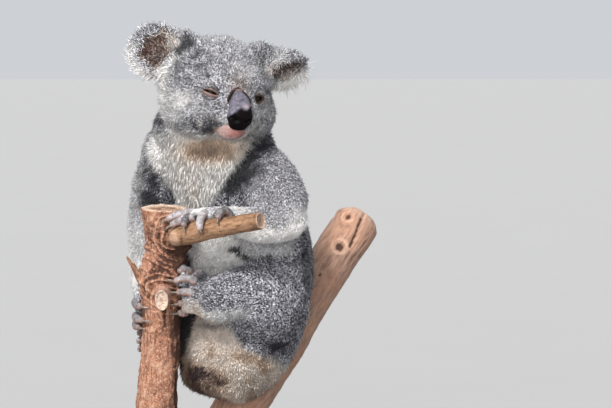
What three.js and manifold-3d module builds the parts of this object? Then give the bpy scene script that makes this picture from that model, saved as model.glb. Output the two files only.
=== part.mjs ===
// A koala sitting in the fork of a cut gum branch, on a plain display stand.
// Millimetres, +Z up, origin under the middle of the stand's base. The koala's left side is towards +X, its chest
// faces -Y and a little -X, the upright branch that it holds stands at -X, and the sloping limb behind it rises to +X.
import * as THREE from 'three';
import { LoftGeometry } from 'three/addons/geometries/LoftGeometry.js';
import { mergeVertices } from 'three/addons/utils/BufferGeometryUtils.js';
import Module from 'manifold-3d';

const wasm = await Module();
wasm.setup();

// ---------------------------------------------------------------- driving dimensions

const GAP = 0.35; // clearance between neighbouring pieces
const FLATTEN = 0.15; // how far a facet may move when a cut's small facets are merged
const BASE_RADIUS = 200;
const BASE_THICKNESS = 20;
const BASE_CHAMFER = 3;
const ROD_RADIUS = 6;
const ROD_HALF_SPACING = 13;
const PERCH_CUT_HEIGHT = 58; // level of the fork's sawn lower end

const HEAD_CENTRE = new THREE.Vector3(-31, -45, 584);
const HEAD_TURN = 22; // degrees towards the koala's left
const HEAD_TILT = 6; // degrees, crown towards the koala's left

const EYE_RADIUS = 8.5;
const EYE_AT = { x: 31.5, y: -41, z: -2 }; // in the head's own frame
const CLAW_LENGTH = 15; // along its curve
const CLAW_RADIUS = 2.4;
const DIGIT_RADIUS = 5;

// ---------------------------------------------------------------- shape helpers

const UP = new THREE.Vector3(0, 0, 1);
const rad = THREE.MathUtils.degToRad;
const vec = (p) => new THREE.Vector3(p[0], p[1], p[2]);

/** Level direction that something turned by this many degrees faces: 0 is -Y, positive towards +X. */
function facing(degrees) {
  return new THREE.Vector3(Math.sin(rad(degrees)), -Math.cos(rad(degrees)), 0);
}

/** A closed geometry as a solid, with the vertices that its faces share merged. */
function solidOf(geometry) {
  const bare = new THREE.BufferGeometry();
  bare.setAttribute('position', geometry.getAttribute('position'));
  if (geometry.index) bare.setIndex(geometry.index);
  const merged = mergeVertices(bare, 1e-3);
  return new wasm.Manifold(new wasm.Mesh({
    numProp: 3,
    vertProperties: new Float32Array(merged.attributes.position.array),
    triVerts: new Uint32Array(merged.index.array),
  }));
}

/** A solid as a geometry again, around the given pivot. */
function geometryOf(solid, pivot) {
  const { vertProperties, triVerts } = solid.getMesh();
  const geometry = new THREE.BufferGeometry();
  geometry.setAttribute('position', new THREE.BufferAttribute(vertProperties, 3));
  geometry.setIndex(new THREE.BufferAttribute(triVerts, 1));
  geometry.translate(-pivot.x, -pivot.y, -pivot.z);
  return geometry;
}

/**
 * One oval ring across `along`: half width sideways, half depth in the direction `deep`.
 * A `boxy` below 1 squares the oval's corners.
 */
function ovalRing(centre, along, deep, width, depth, sides, boxy = 1) {
  const side = new THREE.Vector3().crossVectors(deep, along).normalize();
  const normal = new THREE.Vector3().crossVectors(along, side).normalize();
  const bent = (c) => Math.sign(c) * Math.abs(c) ** boxy;
  return Array.from({ length: sides }, (_, k) => {
    const a = (2 * Math.PI * k) / sides;
    return centre.clone()
      .addScaledVector(side, width * bent(Math.cos(a)))
      .addScaledVector(normal, depth * bent(Math.sin(a)));
  });
}

/**
 * A closed body along a smooth spine. A station is [x, y, z, half width, half depth, facing in degrees].
 * Without a facing, the depth is measured along `deep`. `round` rounds the two ends over these lengths.
 */
function sweep(stations, { sides = 14, steps = 8, round = [0, 0], deep = UP, grow = 0, boxy = 1 } = {}) {
  const spine = new THREE.CatmullRomCurve3(stations.map(vec));
  const girth = new THREE.CatmullRomCurve3(
    stations.map((s) => new THREE.Vector3(s[3], s[4] ?? s[3], s[5] ?? 0)));
  const turned = stations[0].length > 5;
  const ring = (t, beyond, share) => {
    const along = spine.getTangent(t);
    const size = girth.getPoint(t);
    return ovalRing(
      spine.getPoint(t).addScaledVector(along, beyond), along, turned ? facing(size.z) : deep,
      (size.x + grow) * share, (size.y + grow) * share, sides, boxy);
  };
  const sections = [];
  const rounding = [76, 42];
  if (round[0]) {
    for (const a of rounding) {
      sections.push(ring(0, -(round[0] + grow) * Math.sin(rad(a)), Math.cos(rad(a))));
    }
  }
  for (let i = 0; i <= steps; i++) {
    const flat = (i === 0 && !round[0]) ? -grow : (i === steps && !round[1]) ? grow : 0;
    sections.push(ring(i / steps, flat, 1));
  }
  if (round[1]) {
    for (const a of rounding.toReversed()) {
      sections.push(ring(1, (round[1] + grow) * Math.sin(rad(a)), Math.cos(rad(a))));
    }
  }
  return solidOf(new LoftGeometry(sections, { capStart: true, capEnd: true }));
}

/** An ellipsoid with these three half sizes. */
function ellipsoid(centre, half, grow = 0, sides = 18, rows = 12) {
  const ball = new THREE.SphereGeometry(1, sides, rows);
  ball.rotateX(Math.PI / 2);
  ball.scale(half[0] + grow, half[1] + grow, half[2] + grow);
  ball.translate(centre[0], centre[1], centre[2]);
  return solidOf(ball);
}

/** How far a ray from the origin along `d` runs before it leaves an ellipsoid, or 0 where it misses it. */
function exitOf(d, [[cx, cy, cz], [a, b, c]]) {
  const dd = (d.x / a) ** 2 + (d.y / b) ** 2 + (d.z / c) ** 2;
  const dc = (d.x * cx) / a ** 2 + (d.y * cy) / b ** 2 + (d.z * cz) / c ** 2;
  const cc = (cx / a) ** 2 + (cy / b) ** 2 + (cz / c) ** 2 - 1;
  const root = dc ** 2 - dd * cc;
  return root > 0 ? Math.max(0, (dc + Math.sqrt(root)) / dd) : 0;
}

/** One smooth body round the origin out of ellipsoids [centre, half sizes]: a ball whose every point moves out
 * to the power mean of the places where its ray leaves them. */
function blended(lobes, grow, sides, rows) {
  const POWER = 13;
  const ball = new THREE.SphereGeometry(1, sides, rows);
  ball.rotateX(Math.PI / 2);
  const at = ball.getAttribute('position');
  for (let i = 0; i < at.count; i++) {
    const d = new THREE.Vector3().fromBufferAttribute(at, i).normalize();
    const sum = lobes.reduce((total, lobe) => total + exitOf(d, lobe) ** POWER, 0);
    d.multiplyScalar(sum ** (1 / POWER) + grow);
    at.setXYZ(i, d.x, d.y, d.z);
  }
  return solidOf(ball);
}

/** A closed profile of [radius, height] points turned about an axis through `centre`. */
function turned(profile, sides, centre, axis) {
  const lathe = new THREE.LatheGeometry(profile.map(([r, h]) => new THREE.Vector2(r, h)), sides);
  lathe.applyQuaternion(new THREE.Quaternion().setFromUnitVectors(new THREE.Vector3(0, 1, 0), axis));
  lathe.translate(centre.x, centre.y, centre.z);
  return solidOf(lathe);
}

const union = (solids) => solids.reduce((whole, s) => whole.add(s));

/** The largest single body of a solid, so that slivers left by a cut are dropped. */
function largest(solid) {
  return solid.decompose().reduce((best, s) => (s.volume() > best.volume() ? s : best));
}

// ---------------------------------------------------------------- the perch

// Spine and radii of the upright branch, from the sawn fork to the sawn top.
const TRUNK = [
  [-121, -42, 58, 27], [-117, -44, 130, 25], [-110, -46, 214, 23.5], [-105.5, -50, 275, 22.5],
  [-103.5, -56, 330, 23], [-103, -60, 362, 26], [-99, -63, 385, 26], [-99, -69, 412, 21.5],
  [-98.5, -74, 432, 23.5], [-97, -77, 446.5, 27],
];
const LIMB = [
  [-98, -34, 58, 30], [-58, 10, 124, 30], [-18, 47, 190, 30], [11, 62, 232, 29.5],
  [40, 78, 276, 29], [66, 98, 320, 28.5], [130, 152, 411, 29],
];
const SIDE_BRANCH = [[-95, -80, 416, 12.5], [-85, -92, 418.5, 12.5], [-36, -125, 429.5, 11.5], [15, -158, 440.5, 9.8]];
const PEG = [[-99, -72, 356, 8, 11], [-101, -88, 347, 6.5, 11], [-102.5, -99, 341, 6, 10.5]];
const SPLINTER = [[-124, -58, 358, 5], [-132, -62, 372, 3.4], [-143, -63, 390, 1.4]];

const trunkForm = (grow) => sweep(TRUNK, { sides: 13, steps: 13, deep: facing(0), grow });
const limbForm = (grow) => sweep(LIMB, { sides: 13, steps: 7, round: [0, 18], deep: facing(0), grow });
const sideBranchForm = (grow) => sweep(SIDE_BRANCH, { sides: 10, steps: 5, grow });
const pegForm = (grow) => sweep(PEG, { sides: 8, steps: 3, grow });
const splinterForm = (grow) => sweep(SPLINTER, { sides: 6, steps: 3, grow });

/** Everything below the level saw cut of the fork. */
function belowCut() {
  const block = new THREE.BoxGeometry(400, 400, 200);
  block.translate(0, 0, PERCH_CUT_HEIGHT - 100);
  return solidOf(block);
}

// ---------------------------------------------------------------- the body

// The spine from rump to neck: half width across the koala, half depth, and the way that stretch faces.
const TORSO = [
  [-38, 14, 232, 52, 48, -50], [-24, 14, 262, 70, 66, -50], [-8, 13, 300, 76, 71, -50],
  [3, 11, 345, 74, 70, -48], [2, 8, 392, 74, 70, -42], [-12, 4, 440, 73, 67, -34],
  [-28, 0, 485, 72, 61, -30], [-41, -2, 526, 70, 57, -22], [-42, -8, 558, 62, 52, -8], [-38, -14, 586, 42, 42, 10],
];
const TORSO_STEPS = 13;
const torsoForm = (grow) => sweep(TORSO, { sides: 16, steps: TORSO_STEPS, round: [20, 12], grow });

const headPose = new THREE.Matrix4().compose(
  HEAD_CENTRE,
  new THREE.Quaternion().setFromEuler(new THREE.Euler(0, rad(HEAD_TILT), rad(HEAD_TURN), 'ZYX')),
  new THREE.Vector3(1, 1, 1));
/** Moves a solid made in the head's own frame (x its left, y its back, z its crown) to its place. */
const toHead = (solid) => solid.transform(headPose.elements);

// The head's masses in its own frame, as [centre, half sizes].
const HEAD_LOBES = [
  [[-5, 12, 3], [65, 54, 60]], // skull
  [[-1, -20, -8], [54, 38, 44]], // face
  [[0, -42, -30], [26, 21, 22]], // muzzle
  [[0, -42, -43], [21, 18, 12]], // chin
  [[-46, -6, -23], [25, 34, 28]], // right cheek ruff
  [[37, -10, -24], [26, 34, 29]], // left cheek ruff
  [[-46, 18, 45], [21, 22, 21]], // right temple
  [[51, 10, 40], [27, 24, 25]], // left temple
];
const NOSE = [
  [0, -50, 3, 6, 5], [0, -58, -6, 10.5, 8], [0, -64, -18, 13, 10], [0, -65, -29, 15, 10], [0, -61, -37, 11, 7],
];

const noseForm = (grow) => toHead(sweep(NOSE, { sides: 10, steps: 4, round: [3, 3], deep: facing(0), grow }));
const eyeForm = (side) => (grow) => toHead(
  ellipsoid([side * EYE_AT.x, EYE_AT.y, EYE_AT.z], [EYE_RADIUS, EYE_RADIUS, EYE_RADIUS], grow, 10, 6));

/** The head, with shallow hollows where the eyes look out. */
function headForm(grow) {
  const hollows = [-1, 1].map(
    (side) => ellipsoid([side * EYE_AT.x * 1.1, EYE_AT.y - 11, EYE_AT.z], [9, 11, 6], 0, 8, 6));
  return toHead(hollows.reduce((head, hollow) => head.subtract(hollow), blended(HEAD_LOBES, grow, 20, 15)));
}

// Each ear is a furred dish: centre in the head's frame, the way that it opens, and its profile
// as [radius, height] along that way from the middle of its back.
const EARS = {
  right: {
    centre: [-78, 26, 40], opens: new THREE.Vector3(-0.52, -0.85, 0.04).normalize(),
    profile: [[0, -14], [18, -13], [29, -8], [35, 1], [33, 8], [26, 7], [14, 0], [0, -3]],
  },
  left: {
    centre: [76, -2, 36], opens: new THREE.Vector3(0.33, -0.59, -0.74).normalize(),
    profile: [[0, -19], [13, -18], [23, -11], [28, -1], [27, 5], [20, 4], [11, -3], [0, -6]],
  },
};
const earForm = ({ centre, opens, profile }) => (grow) => toHead(turned(
  profile.map(([r, h], i) => [r + (r ? grow : 0), h + (i < 4 ? -grow : grow)]), 15, vec(centre), opens));

// ---------------------------------------------------------------- the limbs

// Stations of each segment: [x, y, z, half width, half depth].
const UPPER_ARM = {
  left: [[2, -30, 508, 31, 29], [22, -46, 480, 40, 36], [37, -64, 450, 40, 32]],
  right: [[-98, 28, 508, 34, 30], [-116, 40, 466, 33, 30], [-124, 42, 424, 28, 27]],
};
const FOREARM = {
  left: [[47, -72, 438, 27, 27], [24, -88, 431, 24, 24], [-6, -98, 434, 20, 19], [-24, -104, 441, 15, 13]],
  right: [[-126, 40, 420, 26, 26], [-125, 14, 392, 22, 22], [-125, -8, 368, 19, 18], [-126, -24, 348, 14, 15]],
};
const THIGH = {
  left: [[26, -18, 312, 44, 46], [16, -48, 334, 50, 46], [-8, -74, 350, 38, 34]],
  right: [[-34, 44, 272, 44, 44], [-52, 64, 306, 42, 40], [-66, 70, 336, 34, 32]],
};
const SHANK = {
  left: [[-14, -80, 348, 34, 31], [-34, -84, 342, 26, 27], [-52, -81, 339, 17, 20]],
  right: [[-72, 66, 334, 28, 28], [-92, 42, 318, 23, 23], [-108, 12, 302, 16, 16]],
};
const segment = (stations) => (grow) => sweep(stations, {
  sides: 12, steps: 4, round: [0.8 * stations[0][4], 0.7 * stations.at(-1)[4]], grow,
});

// ---------------------------------------------------------------- hands and feet

/** Centre, direction and radius of a branch at a share of its length. */
function branchAt(stations, share) {
  const spine = new THREE.CatmullRomCurve3(stations.map(vec));
  const radii = new THREE.CatmullRomCurve3(stations.map((s) => new THREE.Vector3(s[3], 0, 0)));
  return { centre: spine.getPoint(share), along: spine.getTangent(share), radius: radii.getPoint(share).x };
}

/** The share of the upright branch's length that lies at a height. */
function trunkShare(height) {
  let [low, high] = [0, 1];
  for (let i = 0; i < 20; i++) {
    const middle = (low + high) / 2;
    if (branchAt(TRUNK, middle).centre.z < height) low = middle;
    else high = middle;
  }
  return low;
}

/**
 * A digit that grips a branch: an arc round it from angle `from` to `to` (degrees, counted from the direction
 * `outward` by the right-hand rule about the branch), drifting by `drift` along it, with its claw beyond.
 */
function gripArc({ branch, share, height, outward, from, to, drift = 0, lift = 0.8, reach = CLAW_LENGTH }) {
  const { centre, along, radius: wood } = branchAt(branch, share ?? trunkShare(height));
  const u = outward.clone().addScaledVector(along, -outward.dot(along)).normalize();
  const v = new THREE.Vector3().crossVectors(along, u);
  const at = (part, clear) => {
    const a = rad(from + (to - from) * part);
    return centre.clone()
      .addScaledVector(u, (wood + clear) * Math.cos(a))
      .addScaledVector(v, (wood + clear) * Math.sin(a))
      .addScaledVector(along, drift * part);
  };
  const clear = DIGIT_RADIUS + lift;
  const arc = Math.abs(rad(to - from)) * (wood + clear); // length of the digit
  return {
    digit: [at(0, clear), at(0.4, clear + 1.5), at(0.75, clear + 0.8), at(1, clear - 0.2)],
    claw: [at(1 + 0.9 / arc, clear), at(1 + (0.55 * reach) / arc, clear - 0.3), at(1 + reach / arc, 2)],
  };
}

/** A digit laid along given points, then its claw along three more. */
const laid = ({ points, claw }) => ({ digit: points.map(vec), claw: claw.map(vec) });
const digitOf = (grip) => (grip.points ? laid(grip) : gripArc(grip));

const digitForm = (grip) => (grow) => sweep(
  digitOf(grip).digit.map((p, i) => [p.x, p.y, p.z, DIGIT_RADIUS * [1.1, 1, 0.98, 0.7][i]]),
  { sides: 6, steps: 4, grow });
const clawForm = (grip) => (grow) => sweep(
  digitOf(grip).claw.map((p, i) => [p.x, p.y, p.z, CLAW_RADIUS * [1, 0.72, 0.22][i]]),
  { sides: 5, steps: 2, deep: new THREE.Vector3(0.3, 0.2, 1).normalize(), grow });

const LEFT = new THREE.Vector3(1, 0, 0);
const BACK_RIGHT = new THREE.Vector3(-0.75, 0.66, 0);
// Where each digit starts and ends on its branch. The first toe of a koala has no claw.
const GRIPS = {
  hand_left: {
    palm: [[-22, -106, 440, 14, 12], [-38, -111, 445, 16, 9], [-58, -109, 444.5, 12, 7]],
    digits: [
      {
        points: [[-58, -107, 446], [-71, -107.5, 446], [-82, -106, 443.5], [-92, -105.5, 439.5]],
        claw: [[-92.5, -106, 439], [-98, -106, 436.5], [-102.5, -104, 431.5]],
      },
      {
        points: [[-58, -110, 442], [-69, -110, 440.5], [-78.5, -107.5, 437], [-87, -105, 432.5]],
        claw: [[-87.5, -105.5, 432], [-93, -105, 429.5], [-97.5, -102.5, 425]],
      },
      { branch: SIDE_BRANCH, share: 0.495, outward: UP, from: -10, to: 56, reach: 11 },
      { branch: SIDE_BRANCH, share: 0.61, outward: UP, from: -24, to: 78, reach: 10 },
      { branch: SIDE_BRANCH, share: 0.74, outward: UP, from: -56, to: 46, reach: 10 },
    ],
  },
  hand_right: {
    palm: [[-127, -28, 345, 12, 13], [-129, -40, 336, 9, 20], [-128, -48, 329, 7, 24]],
    digits: [
      { branch: TRUNK, height: 352, outward: BACK_RIGHT, from: 6, to: -56 },
      { branch: TRUNK, height: 341, outward: BACK_RIGHT, from: 6, to: -60 },
      { branch: TRUNK, height: 335, outward: BACK_RIGHT, from: 14, to: 74 },
      { branch: TRUNK, height: 318.5, outward: BACK_RIGHT, from: 14, to: 78 },
      { branch: TRUNK, height: 308, outward: BACK_RIGHT, from: 14, to: 60 },
    ],
  },
  foot_left: {
    palm: [[-50, -82, 341, 16, 19], [-60, -80, 348, 12, 26], [-68, -77, 352, 9, 28]],
    digits: [
      { branch: TRUNK, height: 376, outward: LEFT, from: -18, to: -50, drift: 6, clawless: true },
      { branch: TRUNK, height: 364, outward: LEFT, from: -14, to: -56, drift: 5, reach: 12 },
      { branch: TRUNK, height: 351, outward: LEFT, from: -8, to: -38, drift: 2, reach: 18 },
      { branch: TRUNK, height: 339, outward: LEFT, from: -12, to: -38 },
      { branch: TRUNK, height: 328, outward: LEFT, from: -14, to: -36 },
    ],
  },
  foot_right: {
    palm: [[-108, 8, 300, 13, 15], [-113, -6, 295, 12, 20], [-118, -19, 291, 8, 22]],
    digits: [
      { branch: TRUNK, height: 310, outward: BACK_RIGHT, from: -20, to: -76, clawless: true },
      { branch: TRUNK, height: 306, outward: BACK_RIGHT, from: -24, to: 14, reach: 13 },
      { branch: TRUNK, height: 296, outward: BACK_RIGHT, from: -24, to: 18, reach: 13 },
      { branch: TRUNK, height: 286, outward: BACK_RIGHT, from: -24, to: 18, reach: 13 },
      { branch: TRUNK, height: 276, outward: BACK_RIGHT, from: -24, to: 12, reach: 13 },
    ],
  },
};

// ---------------------------------------------------------------- materials

const material = (color, roughness) => new THREE.MeshStandardMaterial({ color, roughness, metalness: 0 });
const MATERIALS = {
  fur: material(0x8e8d91, 0.95),
  skin: material(0x3a3638, 0.6),
  eye: material(0x1a0f0a, 0.08),
  claw: material(0x4a4038, 0.45),
  bark: material(0x9a6248, 0.9),
  stand_wood: material(0x2c2622, 0.5),
  steel: new THREE.MeshStandardMaterial({ color: 0xb8b8ba, roughness: 0.3, metalness: 1 }),
};

// ---------------------------------------------------------------- assembly

const koala = new THREE.Group();
const made = []; // the forms placed so far, each of which later pieces keep clear of

/** Places a form as its own mesh, cut clear of every form placed before it. */
function place(name, form, slot, trim = (s) => s) {
  let solid = trim(form(0));
  const reach = solid.boundingBox();
  for (const other of made) {
    const near = [0, 1, 2].every((k) => other.box.min[k] < reach.max[k] + 1 && other.box.max[k] > reach.min[k] - 1);
    if (near) solid = solid.subtract(other.grown);
  }
  solid = largest(solid.simplify(FLATTEN));
  const grown = trim(form(GAP));
  made.push({ name, grown, box: grown.boundingBox() });
  const box = solid.boundingBox();
  const pivot = new THREE.Vector3(
    (box.min[0] + box.max[0]) / 2, (box.min[1] + box.max[1]) / 2, (box.min[2] + box.max[2]) / 2);
  const mesh = new THREE.Mesh(geometryOf(solid, pivot), MATERIALS[slot]);
  mesh.name = name;
  mesh.position.copy(pivot);
  koala.add(mesh);
}

const aboveCut = (solid) => solid.subtract(belowCut());
place('perch_trunk', trunkForm, 'bark', aboveCut);
place('perch_limb', limbForm, 'bark', aboveCut);
place('perch_side_branch', sideBranchForm, 'bark');
place('perch_peg', pegForm, 'bark');
place('perch_splinter', splinterForm, 'bark');

for (const [limb, { digits }] of Object.entries(GRIPS)) {
  digits.forEach((grip, i) => {
    if (!grip.clawless) place(`claw_${limb}_${i + 1}`, clawForm(grip), 'claw');
  });
}

place('nose', noseForm, 'skin');
place('eye_left', eyeForm(1), 'eye');
place('eye_right', eyeForm(-1), 'eye');
place('head', headForm, 'fur');
place('ear_left', earForm(EARS.left), 'fur');
place('ear_right', earForm(EARS.right), 'fur');

// The torso is one form parted by level cuts.
const TORSO_CUTS = { rump: [0, 296], belly: [296, 412], chest: [412, 528], neck: [528, 800] };
for (const [name, [low, high]] of Object.entries(TORSO_CUTS)) {
  const slab = (grow) => {
    const block = new THREE.BoxGeometry(500, 500, high - low - 2 * GAP + 2 * grow);
    block.translate(0, 0, (low + high) / 2);
    return torsoForm(grow).intersect(solidOf(block));
  };
  place(name, slab, 'fur');
}

for (const side of ['left', 'right']) {
  place(`upper_arm_${side}`, segment(UPPER_ARM[side]), 'fur');
  place(`thigh_${side}`, segment(THIGH[side]), 'fur');
  place(`forearm_${side}`, segment(FOREARM[side]), 'fur');
  place(`shank_${side}`, segment(SHANK[side]), 'fur');
}

for (const [limb, { palm, digits }] of Object.entries(GRIPS)) {
  const form = (grow) => union([
    sweep(palm, { sides: 8, steps: 2, round: [6, 6], grow }),
    ...digits.map((grip) => digitForm(grip)(grow)),
  ]);
  place(limb, form, 'fur');
}

const baseProfile = [
  [0, 0], [BASE_RADIUS, 0], [BASE_RADIUS, BASE_THICKNESS - BASE_CHAMFER],
  [BASE_RADIUS - BASE_CHAMFER, BASE_THICKNESS], [0, BASE_THICKNESS],
];
place('stand_base', () => turned(baseProfile, 40, new THREE.Vector3(), UP), 'stand_wood');
for (const [k, side] of [[-1, 'rear'], [1, 'front']]) {
  const rodProfile = [
    [0, BASE_THICKNESS + GAP], [ROD_RADIUS, BASE_THICKNESS + GAP],
    [ROD_RADIUS, PERCH_CUT_HEIGHT - GAP], [0, PERCH_CUT_HEIGHT - GAP],
  ];
  const foot = new THREE.Vector3(-110 - k * ROD_HALF_SPACING, -40, 0);
  place(`stand_rod_${side}`, () => turned(rodProfile, 14, foot, UP), 'steel');
}

export default koala;
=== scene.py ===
"""A koala in the fork of a cut gum branch, on a display stand: skin, coat, face, bark, stand and studio.

Metres, +Z up. Tables hold millimetres, as the part's source does, and MM turns them into metres.
"""

import math

import bpy
import numpy as np
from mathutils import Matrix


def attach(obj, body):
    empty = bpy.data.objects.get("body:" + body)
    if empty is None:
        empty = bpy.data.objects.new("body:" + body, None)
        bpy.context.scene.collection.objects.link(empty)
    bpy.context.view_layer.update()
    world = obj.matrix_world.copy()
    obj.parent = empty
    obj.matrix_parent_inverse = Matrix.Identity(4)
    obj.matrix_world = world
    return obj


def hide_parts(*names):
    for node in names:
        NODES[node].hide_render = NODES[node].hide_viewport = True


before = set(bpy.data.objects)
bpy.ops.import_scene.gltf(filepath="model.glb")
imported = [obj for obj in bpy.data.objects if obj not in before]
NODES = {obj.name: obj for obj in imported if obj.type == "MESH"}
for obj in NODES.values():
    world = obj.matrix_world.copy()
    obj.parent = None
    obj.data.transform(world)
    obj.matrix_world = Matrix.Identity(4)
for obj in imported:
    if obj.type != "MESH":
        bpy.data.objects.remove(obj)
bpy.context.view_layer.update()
MM = 0.001
rng = np.random.default_rng(20)


# ------------------------------------------------------------------ numbers shared with the solids, millimetres

HEAD_CENTRE = np.array([-31, -45, 584]) * MM
HEAD_TURN, HEAD_TILT = math.radians(22), math.radians(6)
EYE_RADIUS = 8.5
EYE_AT = (31.5, -41, -2)
# centre, half sizes, in the head's own frame
HEAD_LOBES = [
    ((-5, 12, 3), (65, 54, 60)), ((-1, -20, -8), (54, 38, 44)), ((0, -42, -30), (26, 21, 22)),
    ((0, -42, -43), (21, 18, 12)), ((-46, -6, -23), (25, 34, 28)), ((37, -10, -24), (26, 34, 29)),
    ((-46, 18, 45), (21, 22, 21)), ((51, 10, 40), (27, 24, 25)),
]
NOSE_PATH = [(0, -53, -2, 6.5, 5), (0, -58.5, -8, 10.5, 8), (0, -64, -18, 13, 10), (0, -65, -29, 15, 10),
             (0, -61, -37, 11, 7)]
EARS = {"right": ((-78, 26, 40), (-0.52, -0.85, 0.04), 34), "left": ((76, -2, 36), (0.33, -0.59, -0.74), 28)}
# x, y, z, radius along each limb, from the body outwards
TORSO = [(-38, 14, 232, 50), (-24, 14, 262, 68), (-8, 13, 300, 74), (3, 11, 345, 72), (2, 8, 392, 72),
         (-12, 4, 440, 70), (-28, 0, 485, 67), (-41, -2, 526, 64)]
LIMBS = {
    "upper_arm_left": [(2, -30, 508, 30), (22, -46, 480, 38), (37, -64, 450, 36)],
    "forearm_left": [(47, -72, 438, 27), (24, -88, 431, 24), (-6, -98, 434, 20), (-24, -104, 441, 14)],
    "upper_arm_right": [(-98, 28, 508, 32), (-116, 40, 466, 31), (-124, 42, 424, 27)],
    "forearm_right": [(-126, 40, 420, 26), (-125, 14, 392, 22), (-125, -8, 368, 18), (-126, -24, 348, 14)],
    "thigh_left": [(26, -18, 312, 45), (16, -48, 334, 48), (-8, -74, 350, 36)],
    "shank_left": [(-14, -80, 348, 32), (-34, -84, 342, 26), (-52, -81, 339, 18)],
    "thigh_right": [(-34, 44, 272, 44), (-52, 64, 306, 41), (-66, 70, 336, 33)],
    "shank_right": [(-72, 66, 334, 28), (-92, 42, 318, 23), (-108, 12, 302, 16)],
}
TRUNK = [(-121, -42, 58, 27), (-117, -44, 130, 25), (-110, -46, 214, 23.5), (-105.5, -50, 275, 22.5),
         (-103.5, -56, 330, 23), (-103, -60, 362, 26), (-99, -63, 385, 26), (-99, -69, 412, 21.5),
         (-98.5, -74, 432, 23.5), (-97, -77, 446.5, 27)]
LIMB = [(-98, -34, 58, 30), (-58, 10, 124, 30), (-18, 47, 190, 30), (11, 62, 232, 29.5), (40, 78, 276, 29),
        (66, 98, 320, 28.5), (130, 152, 411, 29)]
SIDE_BRANCH = [(-88, -80, 416.5, 9), (-78, -95, 419.5, 12.4), (-36, -125, 429.5, 11.5), (15, -158, 440.5, 9.8)]
PEG = [(-99, -72, 350, 11, 9), (-100, -88, 345.5, 12, 8), (-100.5, -98, 343.5, 13, 8)]
# the digits: their middle lines from the palm to the claw, and how dark each is, its own colour darkened further as
# painted shade where it lies in shadow
DIGITS = {
    "hand_left": [
        ([(-54, -107, 446), (-71, -107.5, 446), (-82, -106, 443.5), (-92, -105.5, 439.5)], 0.3),
        ([(-54, -110, 443), (-69, -110, 440.5), (-78.5, -107.5, 437), (-87, -105, 432.5)], 0.45),
        ([(-62, -103, 440.5), (-69.5, -110, 441.5), (-72.5, -115.5, 437.5), (-73.5, -118.5, 433)], 0.95),
        ([(-43.5, -111.5, 443.5), (-50.5, -122, 445.5), (-54.5, -130.5, 438.5), (-54.5, -133, 431)], 0.15),
        ([(-18.5, -119.5, 441.5), (-25, -126.5, 449.5), (-31, -136, 448.5), (-33, -141.5, 443.5)], 0.8)],
    "hand_right": [
        ([(-128.5, -41, 354.5), (-119.5, -31, 355.5), (-108, -27.5, 356), (-99.5, -28.5, 356)], 0.85),
        ([(-127.5, -40.5, 343), (-118.5, -30, 344.5), (-106.5, -27, 344.5), (-98, -28.5, 344.5)], 0.85),
        ([(-129.5, -43.5, 336.5), (-134, -55, 335.5), (-132, -65.5, 334), (-127.5, -72, 333.5)], 0.9),
        ([(-129.5, -41.5, 320.5), (-134, -54, 319.5), (-131.5, -65, 318), (-126.5, -71.5, 317)], 0.75),
        ([(-129.5, -40.5, 310.5), (-134, -49, 309.5), (-133, -57, 308.5), (-131, -62.5, 308)], 0.9)],
    "foot_left": [
        ([(-66, -72, 370), (-71, -80, 376), (-76, -83, 378.5), (-80, -84, 376.5)], 0.85),
        ([(-60, -76, 355), (-65, -86, 365.5), (-74.5, -90, 368.5), (-84, -88.5, 365.5)], 0.45),
        ([(-60, -76, 344), (-67, -84, 350.5), (-75, -85, 352), (-81, -80.5, 351)], 0.45),
        ([(-74.5, -63, 338.5), (-75, -69, 337.5), (-77.5, -73, 337), (-80.5, -75, 337)], 0.9),
        ([(-75.5, -62.5, 326.5), (-75.5, -67.5, 326), (-78, -70.5, 325.5), (-80.5, -72.5, 325.5)], 1.0)],
    "foot_right": [
        ([(-118, -29, 313.5), (-107.5, -24, 313.5), (-97.5, -25.5, 313), (-91, -28.5, 312.5)], 0.8),
        ([(-116, -27.5, 309.5), (-123.5, -30.5, 309), (-127.5, -36, 308.5), (-129.5, -40.5, 308.5)], 0.8),
        ([(-116.5, -26.5, 299), (-124.5, -30, 299), (-129, -36, 298.5), (-130.5, -41, 298)], 0.6),
        ([(-117, -25.5, 289), (-124.5, -29, 289), (-129, -35, 288.5), (-131, -40, 288.5)], 0.8),
        ([(-117, -24.5, 279), (-124, -27, 279), (-128, -32, 279), (-130, -36.5, 278.5)], 0.9)],
}
SPLINTER = [(-124, -58, 358, 5), (-132, -62, 372, 3.4), (-143, -63, 390, 1.4)]

FLESH = ["head", "ear_left", "ear_right", "neck", "chest", "belly", "rump",
         "upper_arm_left", "upper_arm_right", "forearm_left", "forearm_right", "hand_left", "hand_right",
         "thigh_left", "thigh_right", "shank_left", "shank_right", "foot_left", "foot_right"]


# ------------------------------------------------------------------ numpy helpers

def unit(v):
    """Vectors scaled to length one."""
    return v / np.maximum(np.linalg.norm(v, axis=-1, keepdims=True), 1e-12)


def ease(x, low, high):
    """0 below low, 1 above high, and t*t*(3-2t) between them."""
    t = np.clip((x - low) / (high - low), 0, 1)
    return t * t * (3 - 2 * t)


LATTICE = np.random.default_rng(7).random((32, 32, 32))


def noise(points, size, seed=0):
    """Smooth value noise from -1 to 1 with lumps `size` metres across: lattice values blended by t*t*(3-2t)."""
    q = points / size + 17.31 * seed + 640
    cell = np.floor(q).astype(int)
    t = q - cell
    t = t * t * (3 - 2 * t)
    total = 0
    for corner in np.ndindex(2, 2, 2):
        c = np.array(corner)
        share = np.prod(np.where(c, t, 1 - t), axis=-1)
        i, j, k = np.moveaxis((cell + c) % 32, -1, 0)
        total = total + share * LATTICE[i, j, k]
    return 2 * total - 1


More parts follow.
